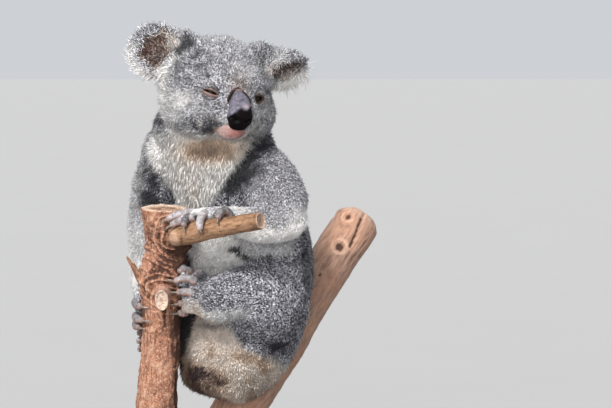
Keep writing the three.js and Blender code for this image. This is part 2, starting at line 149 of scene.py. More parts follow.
def head_axes():
    """The head's own left, back and up directions as rows: a turn about Z after a tilt about Y."""
    cz, sz, cy, sy = math.cos(HEAD_TURN), math.sin(HEAD_TURN), math.cos(HEAD_TILT), math.sin(HEAD_TILT)
    turn = np.array([[cz, -sz, 0], [sz, cz, 0], [0, 0, 1]])
    tilt = np.array([[cy, 0, sy], [0, 1, 0], [-sy, 0, cy]])
    return (turn @ tilt).T


HEAD_AXES = head_axes()


def from_head(local):
    """Points of the head's own frame, millimetres, in the part's frame, metres."""
    return HEAD_CENTRE + np.asarray(local, float) * MM @ HEAD_AXES


def to_head(points):
    """Points of the part's frame in the head's own frame, millimetres."""
    return (points - HEAD_CENTRE) @ HEAD_AXES.T / MM


def spline(stations, rows):
    """Centripetal Catmull-Rom through the stations at `rows` even shares of their count, all columns alike."""
    s = np.asarray(stations, float)
    s = np.vstack([2 * s[0] - s[1], s, 2 * s[-1] - s[-2]])
    step = np.sqrt(np.linalg.norm(np.diff(s[:, :3], axis=0), axis=1))[:, None]
    at = np.linspace(0, len(s) - 3, rows)
    i = np.minimum(at.astype(int), len(s) - 4)
    t = (at - i)[:, None]
    p0, p1, p2, p3 = s[i], s[i + 1], s[i + 2], s[i + 3]
    a, b, c = step[i], step[i + 1], step[i + 2]
    m1 = ((p1 - p0) / a - (p2 - p0) / (a + b) + (p2 - p1) / b) * b
    m2 = ((p2 - p1) / b - (p3 - p1) / (b + c) + (p3 - p2) / c) * b
    return ((2 * t**3 - 3 * t**2 + 1) * p1 + (t**3 - 2 * t**2 + t) * m1
            + (3 * t**2 - 2 * t**3) * p2 + (t**3 - t**2) * m2)


def build(name, points, *face_sets, marks=None, strand=None, uv=None, smooth=True):
    """A mesh object from points and arrays of triangles or quads, with its colour attributes and OFBake map."""
    mesh = bpy.data.meshes.new(name)
    mesh.vertices.add(len(points))
    mesh.vertices.foreach_set("co", np.ascontiguousarray(points, np.float32).ravel())
    sizes = np.concatenate([np.full(len(f), f.shape[1]) for f in face_sets])
    corners = np.concatenate([f.ravel() for f in face_sets]).astype(np.int32)
    mesh.loops.add(len(corners))
    mesh.loops.foreach_set("vertex_index", corners)
    mesh.polygons.add(len(sizes))
    mesh.polygons.foreach_set("loop_start", (np.cumsum(sizes) - sizes).astype(np.int32))
    mesh.update(calc_edges=True)
    mesh.polygons.foreach_set("use_smooth", np.full(len(sizes), smooth))
    for title, values in (("marks", marks), ("strand", strand)):
        if values is not None:
            layer = mesh.attributes.new(title, "FLOAT_COLOR", "POINT")
            layer.data.foreach_set("color", np.ascontiguousarray(values, np.float32).ravel())
    if uv is not None:
        mesh.uv_layers.new(name="OFBake").data.foreach_set("uv", np.ascontiguousarray(uv, np.float32).ravel())
    mesh.validate()
    obj = bpy.data.objects.new(name, mesh)
    bpy.context.scene.collection.objects.link(obj)
    return obj


def finish_piece(obj, material, slot, *nodes):
    """Gives a piece its material and its body, and hides the nodes it stands for. The slot is not used."""
    obj.data.materials.append(material)
    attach(obj, "root")
    if nodes:
        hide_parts(*nodes)
    return obj


def turned_out(points, *face_sets):
    """The faces of a closed piece, all reversed if the volume they enclose comes out negative."""
    volume = 0
    for f in face_sets:
        for k in range(1, f.shape[1] - 1):
            a, b, c = points[f[:, 0]], points[f[:, k]], points[f[:, k + 1]]
            volume += (a * np.cross(b, c)).sum()
    return [f if volume > 0 else f[:, ::-1] for f in face_sets]


def bell(points, centre, radius):
    """A bell of height one around a point: exp(-(distance / radius)^2), with a radius for each axis."""
    return np.exp(-(((points - np.array(centre)) / np.array(radius)) ** 2).sum(-1))


def hump(x, centre, width):
    """A bell of height one along one number: exp(-((x - centre) / width)^2)."""
    return np.exp(-((x - centre) / width) ** 2)


def lumps(points, size, seed):
    """noise() on an array of points in millimetres of any shape, its features `size` metres long."""
    return noise(points.reshape(-1, 3) * MM, size, seed).reshape(points.shape[:-1])


def columns(*values):
    """Values side by side along a last axis, single numbers repeated."""
    return np.stack(np.broadcast_arrays(*values), -1)


def to_segment(points, a, b):
    """Distance from each point to the straight line between two points, millimetres."""
    a, b = np.array(a, float), np.array(b, float)
    t = np.clip((points - a) @ (b - a) / ((b - a) @ (b - a)), 0, 1)
    return np.linalg.norm(points - a - t[..., None] * (b - a), axis=-1)


def grid_faces(rows, sides):
    """Quads of a rows x sides grid that is closed sideways, facing outwards."""
    r, s = np.meshgrid(np.arange(rows - 1), np.arange(sides), indexing="ij")
    a, b = r * sides + s, r * sides + (s + 1) % sides
    return np.stack([a, b, b + sides, a + sides], -1).reshape(-1, 4)


def tube(rings):
    """Points and faces of a closed skin through (rows, sides, 3) rings, its two ends fanned to their middles."""
    rows, sides, _ = rings.shape
    points = np.vstack([rings.reshape(-1, 3), rings[0].mean(0), rings[-1].mean(0)])
    k = np.arange(sides)
    first = np.stack([np.full(sides, rows * sides), (k + 1) % sides, k], -1)
    last = (rows - 1) * sides + np.stack([k, (k + 1) % sides, np.full(sides, sides + 1)], -1)
    return points, grid_faces(rows, sides), np.vstack([first, last])


# ------------------------------------------------------------------ where things are on the body

def chain(points, stations):
    """Gap from each point to a chain of round segments, the nearest segment's direction, and the share along."""
    s = np.asarray(stations, float) * MM
    gap, way, share = np.full(len(points), 1e9), np.zeros_like(points), np.zeros(len(points))
    for n, (a, b) in enumerate(zip(s[:-1], s[1:])):
        ab = b[:3] - a[:3]
        t = np.clip((points - a[:3]) @ ab / (ab @ ab), 0, 1)
        d = np.linalg.norm(points - a[:3] - t[:, None] * ab, axis=1) - a[3] - t * (b[3] - a[3])
        near = d < gap
        gap[near], way[near], share[near] = d[near], unit(ab), ((n + t) / (len(s) - 1))[near]
    return gap, way, share


def cloud_gap(points, name):
    """Distance from each point near a small node to the node's nearest vertex."""
    mesh = NODES[name].data
    cloud = np.empty(len(mesh.vertices) * 3, np.float32)
    mesh.vertices.foreach_get("co", cloud)
    cloud = cloud.reshape(-1, 3)
    gap = np.full(len(points), 1.0)
    lo, hi = cloud.min(0) - 0.03, cloud.max(0) + 0.03
    near = np.flatnonzero(((points > lo) & (points < hi)).all(1))
    for part in np.array_split(near, max(1, len(near) // 4000)):
        if len(part):
            gap[part] = np.sqrt(((points[part, None] - cloud[None]) ** 2).sum(-1).min(1))
    return gap


SOFTNESS = 0.005        # metres over which one region fades into the next
EAR_THICK = 0.009       # half thickness of an ear, metres
PAWS = ["hand_left", "hand_right", "foot_left", "foot_right"]
REGIONS = ["head", "ear_right", "ear_left", "torso", *LIMBS, *PAWS]


def ear_frame(side):
    """Centre, opening direction and outward direction of an ear, metres."""
    centre, opens, _ = EARS[side]
    middle = from_head(centre)
    axis = unit(np.array(opens) @ HEAD_AXES)
    away = unit(middle - from_head((0, 20, 5)))
    return middle, axis, unit(away - (away @ axis) * axis)


def flattened(points, middle, axis):
    """Offsets of points from a middle, without their part along an axis."""
    off = points - middle
    return off - (off @ axis)[:, None] * axis


def body_fields(points):
    """Soft shares of each region at each point, the coat's lay there, and the share along each limb."""
    gaps, ways, shares = [], [], {}
    local = to_head(points)
    jowl = ((-30, -22, -42), (22, 20, 15))
    lobes = [(np.linalg.norm((local - c) / h, axis=1) - 1) * min(h) * MM for c, h in HEAD_LOBES + [jowl]]
    gaps.append(np.min(lobes, axis=0))
    ways.append(unit(points - from_head((0, -66, -8))))
    for side in ("right", "left"):
        middle, axis, away = ear_frame(side)
        radius = EARS[side][2] * MM
        flat = flattened(points, middle, axis)
        out = np.maximum(np.linalg.norm(flat, axis=1) - radius * 0.8, 0)
        gaps.append(np.hypot(out, (points - middle) @ axis) - EAR_THICK)
        droop = 0.1 if side == "right" else 0.7 + 3 * wisps(points)[:, None]
        ways.append(unit(flat + away * 0.35 * radius - np.array([0, 0, 1.0]) * droop * radius))
    gap, _, shares["torso"] = chain(points, TORSO)
    gaps.append(gap)
    ways.append(unit(np.array([0.0, 0.3, -1.0]) + 0 * points))
    for name, stations in LIMBS.items():
        gap, way, shares[name] = chain(points, stations)
        gaps.append(gap)
        ways.append(unit(way + np.array([0, 0, -0.35])))
    for name, towards in (("hand_left", (-1, -0.2, -0.2)), ("hand_right", (0, -1, -0.3)),
                          ("foot_left", (-1, 0.1, -0.1)), ("foot_right", (0.2, -1, -0.1))):
        gaps.append(cloud_gap(points, name) - 0.001)
        ways.append(unit(np.array(towards, float) + 0 * points))
    gaps = np.array(gaps)
    soft = np.exp(-(gaps - gaps.min(0)) / SOFTNESS)
    soft /= soft.sum(0)
    way = unit(np.einsum("rn,rnk->nk", soft, np.array(ways)))
    return dict(zip(REGIONS, soft)), way, shares


# ------------------------------------------------------------------ the skin

def node_mesh(name):
    """A node's welded vertices and triangles."""
    mesh = NODES[name].data
    mesh.calc_loop_triangles()
    co = np.empty(len(mesh.vertices) * 3)
    mesh.vertices.foreach_get("co", co)
    tri = np.empty(len(mesh.loop_triangles) * 3, np.int64)
    mesh.loop_triangles.foreach_get("vertices", tri)
    co, back = np.unique(np.round(co.reshape(-1, 3), 6), axis=0, return_inverse=True)
    return co, back.reshape(-1)[tri].reshape(-1, 3)


def summed(points, faces, across):
    """At each vertex, the unit sum of the vectors of its faces."""
    total = np.zeros_like(points)
    for axis in range(3):
        total[:, axis] = np.bincount(faces.ravel(), np.repeat(across[:, axis], faces.shape[1]), len(points))
    return unit(total)


def vertex_normals(points, faces):
    """Area-weighted normals of a mesh of triangles or quads."""
    across = np.cross(points[faces[:, 2]] - points[faces[:, 0]], points[faces[:, -1]] - points[faces[:, 1]])
    return summed(points, faces, across)


def gathered(names, grow=0.0):
    """Copies of some nodes in one object, each vertex moved out by `grow`."""
    points, faces, start = [], [], 0
    for name in names:
        co, tri = node_mesh(name)
        across = np.cross(co[tri[:, 1]] - co[tri[:, 0]], co[tri[:, 2]] - co[tri[:, 0]])
        points.append(co + summed(co, tri, across) * grow)
        faces.append(tri + start)
        start += len(co)
    return build("rough", np.vstack(points), np.vstack(faces))


def remeshed(names, grow, voxel):
    """Copies of some nodes, swollen by `grow` so that they run together, as one even mesh of quads."""
    rough = gathered(names, grow)
    change = rough.modifiers.new("even", "REMESH")
    change.mode, change.voxel_size = "VOXEL", voxel
    made = rough.evaluated_get(bpy.context.evaluated_depsgraph_get()).to_mesh()
    co = np.empty(len(made.vertices) * 3)
    made.vertices.foreach_get("co", co)
    quads = np.empty(len(made.loops), np.int64)
    made.loops.foreach_get("vertex_index", quads)
    bpy.data.objects.remove(rough)
    return co.reshape(-1, 3), quads.reshape(-1, 4)


def relaxed(points, faces, share, turns):
    """Each vertex moved towards its neighbours' mean by its own share, `turns` times."""
    a = faces.ravel()
    b = np.roll(faces, -1, axis=1).ravel()
    count = np.bincount(a, minlength=len(points)) + np.bincount(b, minlength=len(points))
    out = points.copy()
    for _ in range(turns):
        mean = np.empty_like(out)
        for axis in range(out.shape[1]):
            mean[:, axis] = (np.bincount(a, out[b, axis], len(out)) + np.bincount(b, out[a, axis], len(out))) / count
        out += (mean - out) * share
    return out


def around_head(points, centre, radius):
    """A bell of height one around a point of the head's own frame."""
    return bell(to_head(points), centre, radius)


# centre, radii, millimetres out of the skin
FACE_FOLDS = [
    ((31.5, -50, -2), (11, 14, 9), -3.5), ((-31.5, -50, -2), (11, 14, 9), -3.5),      # eye sockets
    ((30, -46, 12), (14, 12, 5), 2.0), ((-30, -46, 12), (14, 12, 5), 2.0),            # brows
    ((18, -54, -16), (5, 12, 16), -1.6), ((-18, -54, -16), (5, 12, 16), -1.6),        # beside the nose
    ((20, -54, -33), (8, 14, 7), 2.0), ((-20, -54, -33), (8, 14, 7), 2.0),            # upper lips
    ((25, -48, -45), (7, 14, 4), -2.2), ((-25, -48, -45), (7, 14, 4), -2.2),          # mouth corners
    ((0, -30, 30), (10, 20, 22), -0.8),                                               # forehead furrow
    ((2, 8, 62), (34, 34, 20), 3.5), ((-55, 6, 38), (7, 16, 12), -4.0),               # crown, crease by the ear
    ((-26, -44, -38), (5, 12, 12), -1.8), ((-30, -22, -47), (18, 20, 9), 8.0),        # fold beside the mouth, jowl
    ((-50, 14, 60), (12, 20, 10), 5.0),                                               # root of the right ear
]


# centre, radii, millimetres out, in the part's frame: the belly against the trunk, the haunch, the bib's fullness
BODY_FORMS = [
    ((-62, -40, 375), (20, 40, 40), 6), ((-74, 0, 388), (26, 45, 40), 11), ((-84, 5, 290), (26, 45, 55), 8),
    ((-78, 5, 226), (26, 45, 20), 9), ((-80, -70, 500), (34, 30, 34), 2),
    ((-100, 18, 545), (22, 36, 24), 9), ((-118, 20, 533), (20, 36, 20), 8), ((76, 5, 392), (18, 50, 52), 4),
    ((-44, -50, 396), (16, 30, 18), 4), ((34, -50, 371), (32, 34, 20), 10), ((54, -34, 338), (16, 30, 34), 6),
]


def wisps(points):
    """1 along the lower edge of the left ear, where long pale hairs hang, falling to 0 in 9 mm."""
    return hump(to_segment(points / MM, (29, -10, 599), (60, -2, 610)), 0, 9)


def near_digits(points, far, near):
    """1 within `near` millimetres of the digits, 0 past `far`."""
    gap = np.full(len(points), 1.0)
    for digits in DIGITS.values():
        for line, _ in digits:
            gap = np.minimum(gap, chain(points, [p + (5.0,) for p in line[1:]])[0])
    return ease(-gap, -far * MM, -near * MM)


def coat_depth(points, soft, shares):
    """How far the skin lies inside the tips of the coat at each point, metres."""
    face = ease(-to_head(points)[:, 1], 5, 40)
    depth = soft["head"] * (2.6 - 0.9 * face)
    for side in ("left", "right"):
        centre, axis, _ = ear_frame(side)
        out = np.linalg.norm(flattened(points, centre, axis), axis=1) / (EARS[side][2] * MM)
        depth += soft["ear_" + side] * (1.6 + 3.4 * ease(out, 0.65, 1.0))
    depth += soft["torso"] * 4.2
    for name in LIMBS:
        far = shares[name]
        thin = 1 if name.startswith(("forearm", "shank")) else 0
        depth += soft[name] * (3.4 - 2.2 * thin * far)
    return depth * MM


SWELL = 0.8             # how far the flesh is swollen so that it runs together, millimetres
VOXEL = 2.2
TURNS = 16


def make_skin():
    """The one skin: the flesh solids run together, smoothed, drawn in by the coat's depth, with the face's folds."""
    points, quads = remeshed(FLESH, SWELL * MM, VOXEL * MM)
    soft, _, shares = body_fields(points)
    small = sum(soft[paw] for paw in PAWS)
    share = (0.5 * (1 - 0.96 * small))[:, None]
    points = relaxed(points, quads, share, TURNS)
    depth = relaxed(coat_depth(points, soft, shares)[:, None] + SWELL * MM, quads, 0.5, 6)
    for _ in range(4):
        points = points - vertex_normals(points, quads) * depth / 4
        points = relaxed(points, quads, share * 0.5, 1)
    normals = vertex_normals(points, quads)
    push = sum(around_head(points, c, r) * out for c, r, out in FACE_FOLDS)
    for centre, radius, out in BODY_FORMS:
        push += out * bell(points / MM, centre, radius)
    push -= 1.6 * near_digits(points, 3.5, 1.5)
    points = points + normals * (push * MM)[:, None]
    return points, quads


# ------------------------------------------------------------------ fur marks and painted shade, the same for skin and coat

# share of white, centre and radii of pale places, in the head's own frame
FACE_WHITES = [(0.16, (-38, -34, -16), (14, 24, 10)), (0.16, (8, -36, 18), (13, 20, 22)),
               (0.5, (16, -46, -42), (16, 20, 9)), (0.3, (-14, -48, -34), (8, 20, 6))]
# two ends and half width of the lines of painted shade in the folds between belly and haunch
BELLY_CREASES = [((-22, -57, 401), (40, -45, 409), 3.0), ((-6, -57, 392), (24, -57, 391), 3.4),
                 ((24, -57, 391), (66, -24, 394), 2.4), ((-20, -58, 399), (-4, -58, 392), 2.4)]


def ear_marks_and_shade(points, normals, soft, wob, crumbs, white, brown, dark):
    """White, brown and dark with the ears' own added: brown hollows darkened further with painted shade, pale rims
    and fringes, a tuft on the right.
    """
    for side in ("right", "left"):
        middle, axis, away = ear_frame(side)
        radius = EARS[side][2] * MM
        flat = flattened(points, middle, axis)
        r = np.linalg.norm(flat, axis=1) / radius
        inner = soft["ear_" + side] * ease(normals @ axis, -0.1, 0.35)
        shift, wide, tall = ((2, 0, 3), 0.62, 0.60) if side == "right" else ((-1, 0, -1), 0.66, 0.46)
        shifted = flat - np.array(shift) * MM
        core = np.hypot(shifted[:, 0] / (wide * radius), shifted[:, 2] / (tall * radius))
        lower = ease(-flat[:, 2] / radius + 0.3 * wob, -0.25, 0.25) if side == "left" else 1.0
        brown += inner * ease(-core - 0.35 * wob - 0.2 * crumbs, -1.05, -0.85) * 1.1
        # painted shade deepening the ear's hollow
        dark += inner * ease(-core - 0.3 * wob - 0.2 * crumbs, -1.0, -0.3) * 0.75 * lower
        if side == "right":
            tuft = bell(points / MM, (-87, -52, 639), (9, 40, 9)) * (1.1 + 0.4 * crumbs)
            white += 0.3 * tuft
            brown = brown * (1 - np.clip(1.3 * tuft, 0, 1)) + 0.34 * tuft
            dark = dark * (1 - np.clip(1.3 * tuft, 0, 1))
        low = ease(-(unit(flat + 1e-9)[:, 2]) + 0.3 * wob, -0.5, 0.4)
        outwards = ease((flat @ away) / (r * radius + 1e-6) + 0.2 * wob, -0.8, 0.0) if side == "left" else 1.0
        edge = soft["ear_" + side] * ease(r + 0.15 * wob, *((0.5, 0.8) if side == "right" else (0.6, 0.85)))
        if side == "left":
            hang = soft["ear_left"] * wisps(points)
            brown *= (1 - np.maximum(edge * low, hang)) * (0.75 + 0.4 * crumbs)
            dark *= 1 - np.maximum(edge * low, hang)
            white += 0.6 * hang
        white += edge * (0.12 * outwards + (0.55 if side == "right" else 0.8) * low)
        dark += edge * (1 - low) * 0.22
    return white, brown, dark


def marks_and_shade(points, normals):
    """White, brown, dark and bare-pink shares at each point of the body, each from 0 to 1. The dark share holds
    painted shade as well as dark fur, and the white share some painted light.
    """
    soft, way, shares = body_fields(points)
    at = points / MM
    x, y, z = at.T
    local = to_head(points)
    lx, ly, lz = local.T
    wob = noise(points, 0.016, 3)
    fine = noise(points, 0.006, 4)
    crumbs = noise(points, 0.0045, 6)
    head, torso = soft["head"], soft["torso"]

    def spot(centre, radius):
        """A bell in the part's frame."""
        return bell(at, centre, radius)

    def face_spot(centre, radius):
        """A bell in the head's frame."""
        return bell(local, centre, radius)

    def line(where, a, b, wide):
        """1 on the line between two points, a bell across it."""
        return hump(to_segment(where, a, b), 0, wide)

    # the bib: between the arms, widest under the chin
    above = np.maximum(z - 475, 0)
    across = np.abs(x + 68 - 0.06 * above) - (37 + 0.62 * (z - 475) + 0.04 * above)
    bib = ease(-across - 7 * wob, -8, 12) * ease(z + 8 * wob, 415, 440) * ease(-y, -22, 2)
    white = bib * (1 - head) * ease(575 - z, -10, 15)
    # cheeks, chin and the pale strip below the right ear
    strip = line(local, (-66, 11, 22), (-68, 8, -14), 9)
    white += 0.95 * strip * (head + soft["ear_right"]) * (0.85 + 0.3 * crumbs)
    # painted light: fur facing upward on the head is whitened, as if lit from above
    white += 0.14 * head * ease(normals[:, 2] + 0.15 * wob, 0.72, 0.98)
    cheek = (0.3 * ease(-lx + 12 * wob, 46, 72) * ease(-lz, -34, -4)
             + 0.35 * ease(-lx + 8 * wob, 36, 60) * ease(-lz, -10, 20))
    white += head * cheek * (0.8 + 0.5 * crumbs)
    white += head * 0.8 * ease(-lz + 3 * wob, 45, 54) * ease(-ly, -5, 18)
    white += head * ease(-ly, -8, 20) * 0.08 * (1 + 0.9 * noise(points, 0.012, 5))
    for much, centre, radius in FACE_WHITES:
        white += much * face_spot(centre, radius)
    # the seat, below and in front of the haunch
    haunch = np.interp(x, [-60, -20, -7, 10, 36, 59, 90], [330, 313, 285, 270, 263, 250, 215])
    seat = ease(haunch - z + 7 * wob, -8, 10) * (torso + soft["thigh_left"] + soft["shank_left"] * 0.3)
    seat *= ease(-y, -60, 10) + (1 - ease(-y, -60, 10)) * ease(250 - z, -10, 20)
    white += (0.7 + 0.15 * crumbs) * seat
    fold = np.interp(x, [-60, -20, -4, 20, 64], [345, 362, 387, 391, 393])
    band = (1 - 0.55 * ease(x + 6 * wob, -16, 6)) * (1 - ease(x, 42, 56))
    white += (torso * ease(-y, -5, 25) * ease(-z + 8 * wob, -430, -410) * ease(z - fold + 2 * fine, -4, 5)
              * 0.95 * band)
    white += 0.8 * spot((64, -40, 436), (20, 60, 13)) * (soft["upper_arm_left"] + soft["forearm_left"] + 0.4 * torso)
    # the pale band under the forearm, and the wrists
    for side in ("left", "right"):
        under = ease(-normals[:, 2] + 0.25 * wob, -0.1, 0.45)
        white += soft["forearm_" + side] * (0.15 + 0.85 * under) * 0.85
        white += soft["forearm_" + side] * ease(shares["forearm_" + side] + 0.1 * wob, 0.5, 0.85) * 0.45
        white += soft["shank_" + side] * ease(-normals[:, 2] + 0.2 * wob, 0.2, 0.7) * 0.6
    white += (soft["upper_arm_right"] + soft["forearm_right"]) * 0.25 * ease(-x + 4 * wob, 116, 136)
    dark = np.zeros(len(points))
    for paw in PAWS:
        white = white * (1 - 0.6 * soft[paw]) + soft[paw] * 0.3 * ease(fine + 0.6 * crumbs, -0.4, 0.5)
        dark += soft[paw] * 0.45 * ease(fine - 0.8 * crumbs, -0.1, 0.5)
    heel = (soft["foot_left"] + soft["shank_left"] * ease(shares["shank_left"], 0.5, 0.9)) * ease(-z, -348, -336)
    white = white * (1 - 0.7 * soft["foot_left"] * ease(z, 346, 352)) + 0.4 * heel
    white += 0.12 * soft["upper_arm_left"]
    brown = 0.35 * heel
    white, brown, dark = ear_marks_and_shade(points, normals, soft, wob, crumbs, white, brown, dark)
    # painted shade in the creases: both armpits, behind the ears
    speckle = 0.55 + 0.75 * ease(fine + 0.4 * wob, -0.4, 0.4)
    dark += 1.5 * speckle * spot((-5, -59, 502), (19, 34, 26))
    hollow = spot((16, -48, 526), (17, 34, 15)) * (1 - head)
    dark += 1.5 * speckle * hollow
    white = white * (1 - 0.9 * np.clip(hollow * 1.3, 0, 1))
    dark += speckle * (1.2 * spot((-22, -60, 482), (13, 30, 16)) + 2.0 * spot((-122, 12, 453), (9, 40, 9))
                       + 0.75 * spot((-118, 4, 486), (14, 40, 30)) + 0.7 * spot((-106, 2, 550), (18, 40, 20)))
    dark *= 1 - 0.8 * bib
    # painted shade where the right shoulder meets the head, with the white taken out
    shoulder_shade = spot((-107, -15, 552), (13, 40, 15)) * (1 - head)
    white *= 1 - 0.95 * np.clip(1.5 * shoulder_shade, 0, 1)
    dark += 0.5 * shoulder_shade * speckle
    flecks = 0.15 + 1.5 * ease(noise(points, 0.0042, 8), -0.05, 0.3)
    for a, b, wide, much in (((-56, 8, 64), (-50, 3, 54), 5.0, 0.9 * flecks),
                             ((-50, 3, 54), (-45, -3, 47), 4.5, 1.6 * flecks),
                             ((-45, -3, 47), (-56, 8, 36), 4.2, 4.5)):
        dark += much * line(local, a, b, wide)
    # painted shade at the outer corner of the left eye's upper lid
    dark += 1.3 * face_spot((39, -36, 4), (8, 12, 3))
    grain = ease(noise(points, 0.005, 8) + 0.5 * crumbs, -0.1, 0.6)
    dark += head * (0.07 + 0.24 * grain) + 0.6 * face_spot((-38, -16, 26), (20, 34, 24)) * (0.15 + grain)
    dark += 0.8 * face_spot((-44, -36, -24), (18, 26, 16)) * ease(noise(points, 0.006, 9), 0.2, 0.55)
    # painted light on the jaw: its pale fur whitened further against the shade it lies in; the fine dark mottles are
    # the fur's own
    jaw = face_spot((33, -38, -26), (16, 28, 24))
    white += 0.5 * jaw * (0.7 + 0.6 * crumbs)
    dark += 0.6 * jaw * ease(noise(points, 0.0036, 10), 0.1, 0.45)
    dark += 0.5 * face_spot((40, -4, 40), (10, 16, 10))
    dark += 0.35 * ease(fine + wob * 0.4, 0.35, 0.8) * (1 - np.clip(white, 0, 1))
    # stains on the seat, the mouth's corners
    stain = np.linalg.norm((at - (-60, -30, 248)) / (14, 60, 8), axis=1) - fine - 0.4 * wob - 0.9 * crumbs
    brown += 0.25 * ease(-stain, -2.6, -1.2) + 0.7 * ease(-stain, -1.1, -0.6)
    dark += 0.6 * ease(-stain + 0.3 * crumbs, -0.8, -0.3)
    white = white * (1 - ease(-stain, -1.0, -0.6))
    # painted shade on the underside of the seat
    dark += 0.22 * seat * ease(x, -20, 10) * ease(-z, -262, -236)
    brown += 0.4 * torso * ease(-z + 14 * wob, -275, -240) * ease(-x, 20, 50)
    # painted shadow on the torso's side where it lies against the trunk
    beside = np.interp(z, [255, 275, 300, 340, 352, 390, 400], [86, 76, 66, 60, 66, 68, 80])
    dark += (1.6 * ease(-x + 3 * wob - beside, -4, 6) * ease(-y, -30, 0)
             * ease(z, 255, 275) * ease(-z, -402, -390) * torso)
    # painted shade in the gap over the left foot, in the crease under its heel and in the folds of the belly
    dark += 1.2 * spot((-54, -76, 368), (7, 20, 8)) + 1.1 * spot((-50, -58, 308), (18, 34, 3.5))
    for a, b, wide in BELLY_CREASES:
        dark += 1.1 * (0.5 + speckle) * line(at, a, b, wide) * (torso + soft["thigh_left"])
    # painted shade between the left hand's digits, and where belly meets thigh
    dark += 1.2 * spot((-58, -114, 441), (6, 14, 6)) + 0.45 * (0.4 + speckle) * spot((-14, -60, 376), (17, 24, 12))
    # a painted shadow line along the forearm's lower edge, and a darker strip on the flank
    dark += torso * (0.5 * line(at, (-8, -56, 414), (64, -20, 420), 5)
                     + 0.6 * ease(x, 56, 64) * ease(-z, -425, -400) * speckle)
    mouth = face_spot((-33, -31, -41), (16, 18, 9)) + 0.7 * face_spot((-24, -44, -40), (6, 12, 8))
    white = white * (1 - 0.8 * np.clip(mouth, 0, 1)) + 0.45 * mouth * ease(crumbs, 0.2, 0.6)
    brown += mouth * ease(wob + 1.5 * fine, -0.4, 0.5) * 0.5
    dark += mouth * ease(-crumbs - 0.5 * fine, -0.05, 0.35) * 1.1
    dark += 0.9 * face_spot((-18, -51, -35.5), (6, 12, 2.0))
    brown += 0.25 * face_spot((0, -50, 12), (12, 20, 12))
    arch = np.hypot(lx / 17.5, (lz + 19) / 25)
    pink = 0.3 * hump(arch, 0.94, 0.10) * ease(lz, -4, 5) * ease(-ly, 30, 40)
    # the first spot is painted shade under the chin, in brown
    brown += 0.8 * spot((-44, -50, 522), (36, 26, 12)) + 0.2 * spot((-66, -60, 458), (7, 30, 24))
    brown += (0.30 + 0.40 * ease(wob, 0.0, 0.7)) * seat
    # painted shade under the thigh
    dark += 0.9 * speckle * spot((34, -44, 284), (15, 34, 13))
    pink += np.exp(-(((local - (-3, -56, -47)) / (12, 18, 5)) ** 4).sum(1)) * 0.6
    pink += 0.5 * spot((-62, -60, 378), (6, 20, 6))
    return np.clip(columns(white, brown, dark, pink), 0, 1), soft, way, shares


# ------------------------------------------------------------------ the coat

ROOT = 0.0008           # how deep a tuft starts below the skin, metres
MIDDLE = 0.36           # where a tuft's only ring sits along it
RING_WIDTHS = (1.0, 0.75, 0.45)


def locks(roots, normals, lay, length, width, lift, curl, rings=1):
    """Closed three-sided spindles from arrays: a root, `rings` rings of three, a tip.

    The spine leaves the skin at `lift` and flattens as lift * (1 - 0.75 s), turning sideways by curl * s. A single
    ring sits at MIDDLE of the length, more rings at even steps.
    """
    n = len(roots)
    side = unit(np.cross(normals, lay))
    stops = np.array([0, MIDDLE, 1]) if rings == 1 else np.linspace(0, 1, rings + 2)
    spine = [roots - normals * ROOT]
    for k in range(rings + 1):
        s = (stops[k] + stops[k + 1]) / 2
        up = lift * (1 - 0.75 * s)
        yaw = curl * s
        ahead = lay * np.cos(yaw)[:, None] + side * np.sin(yaw)[:, None]
        spine.append(spine[-1] + (ahead * np.cos(up)[:, None] + normals * np.sin(up)[:, None])
                     * (length * (stops[k + 1] - stops[k]))[:, None])
    points = np.empty((n, 2 + 3 * rings, 3))
    points[:, 0], points[:, -1] = spine[0], spine[-1]
    along = np.empty(2 + 3 * rings)
    along[0], along[-1] = 0, 1
    for k in range(rings):
        half = (width * RING_WIDTHS[k])[:, None] / 2
        for j, (across, out) in enumerate(((1, -0.3), (0, 0.6), (-1, -0.3))):
            points[:, 1 + 3 * k + j] = spine[k + 1] + side * half * across + normals * half * out
            along[1 + 3 * k + j] = stops[k + 1]
    ring = np.array([1, 2, 3])
    turn = np.roll(ring, -1)
    faces = [np.stack([np.zeros(3, int), turn, ring], -1)]
    for k in range(rings - 1):
        lo, hi = ring + 3 * k, turn + 3 * k
        faces += [np.stack([lo, hi, hi + 3], -1), np.stack([lo, hi + 3, lo + 3], -1)]
    last = 3 * (rings - 1)
    faces.append(np.stack([ring + last, turn + last, np.full(3, 1 + 3 * rings)], -1))
    faces = np.vstack(faces)
    every = faces[None] + (np.arange(n) * (2 + 3 * rings))[:, None, None]
    return points.reshape(-1, 3), every.reshape(-1, 3), along


def scatter(points, quads, per_cm2):
    """Even random roots on quads: (quad, weights of its four corners), `per_cm2` given for each quad."""
    a, b, c, d = (points[quads[:, k]] for k in range(4))
    area = (np.linalg.norm(np.cross(b - a, c - a), axis=1) + np.linalg.norm(np.cross(c - a, d - a), axis=1)) / 2
    count = np.floor(area * 1e4 * per_cm2 + rng.random(len(quads))).astype(int)
    pick = np.repeat(np.arange(len(quads)), count)
    u, v = rng.random((2, len(pick)))
    return pick, np.stack([(1 - u) * (1 - v), u * (1 - v), u * v, (1 - u) * v], -1)


def unwrapped(points, quads):
    """Corner UVs of some skin faces, laid out flat in islands that don't overlap."""
    used, back = np.unique(quads, return_inverse=True)
    obj = build("flat", points[used], back.reshape(-1, 4))
    bpy.context.view_layer.objects.active = obj
    obj.select_set(True)
    bpy.ops.object.mode_set(mode="EDIT")
    bpy.ops.mesh.select_all(action="SELECT")
    bpy.ops.uv.smart_project(angle_limit=math.radians(66), island_margin=0.004)
    bpy.ops.object.mode_set(mode="OBJECT")
    uv = np.empty(len(obj.data.loops) * 2, np.float32)
    obj.data.uv_layers.active.data.foreach_get("uv", uv)
    bpy.data.objects.remove(obj)
    return uv.reshape(-1, 4, 2)


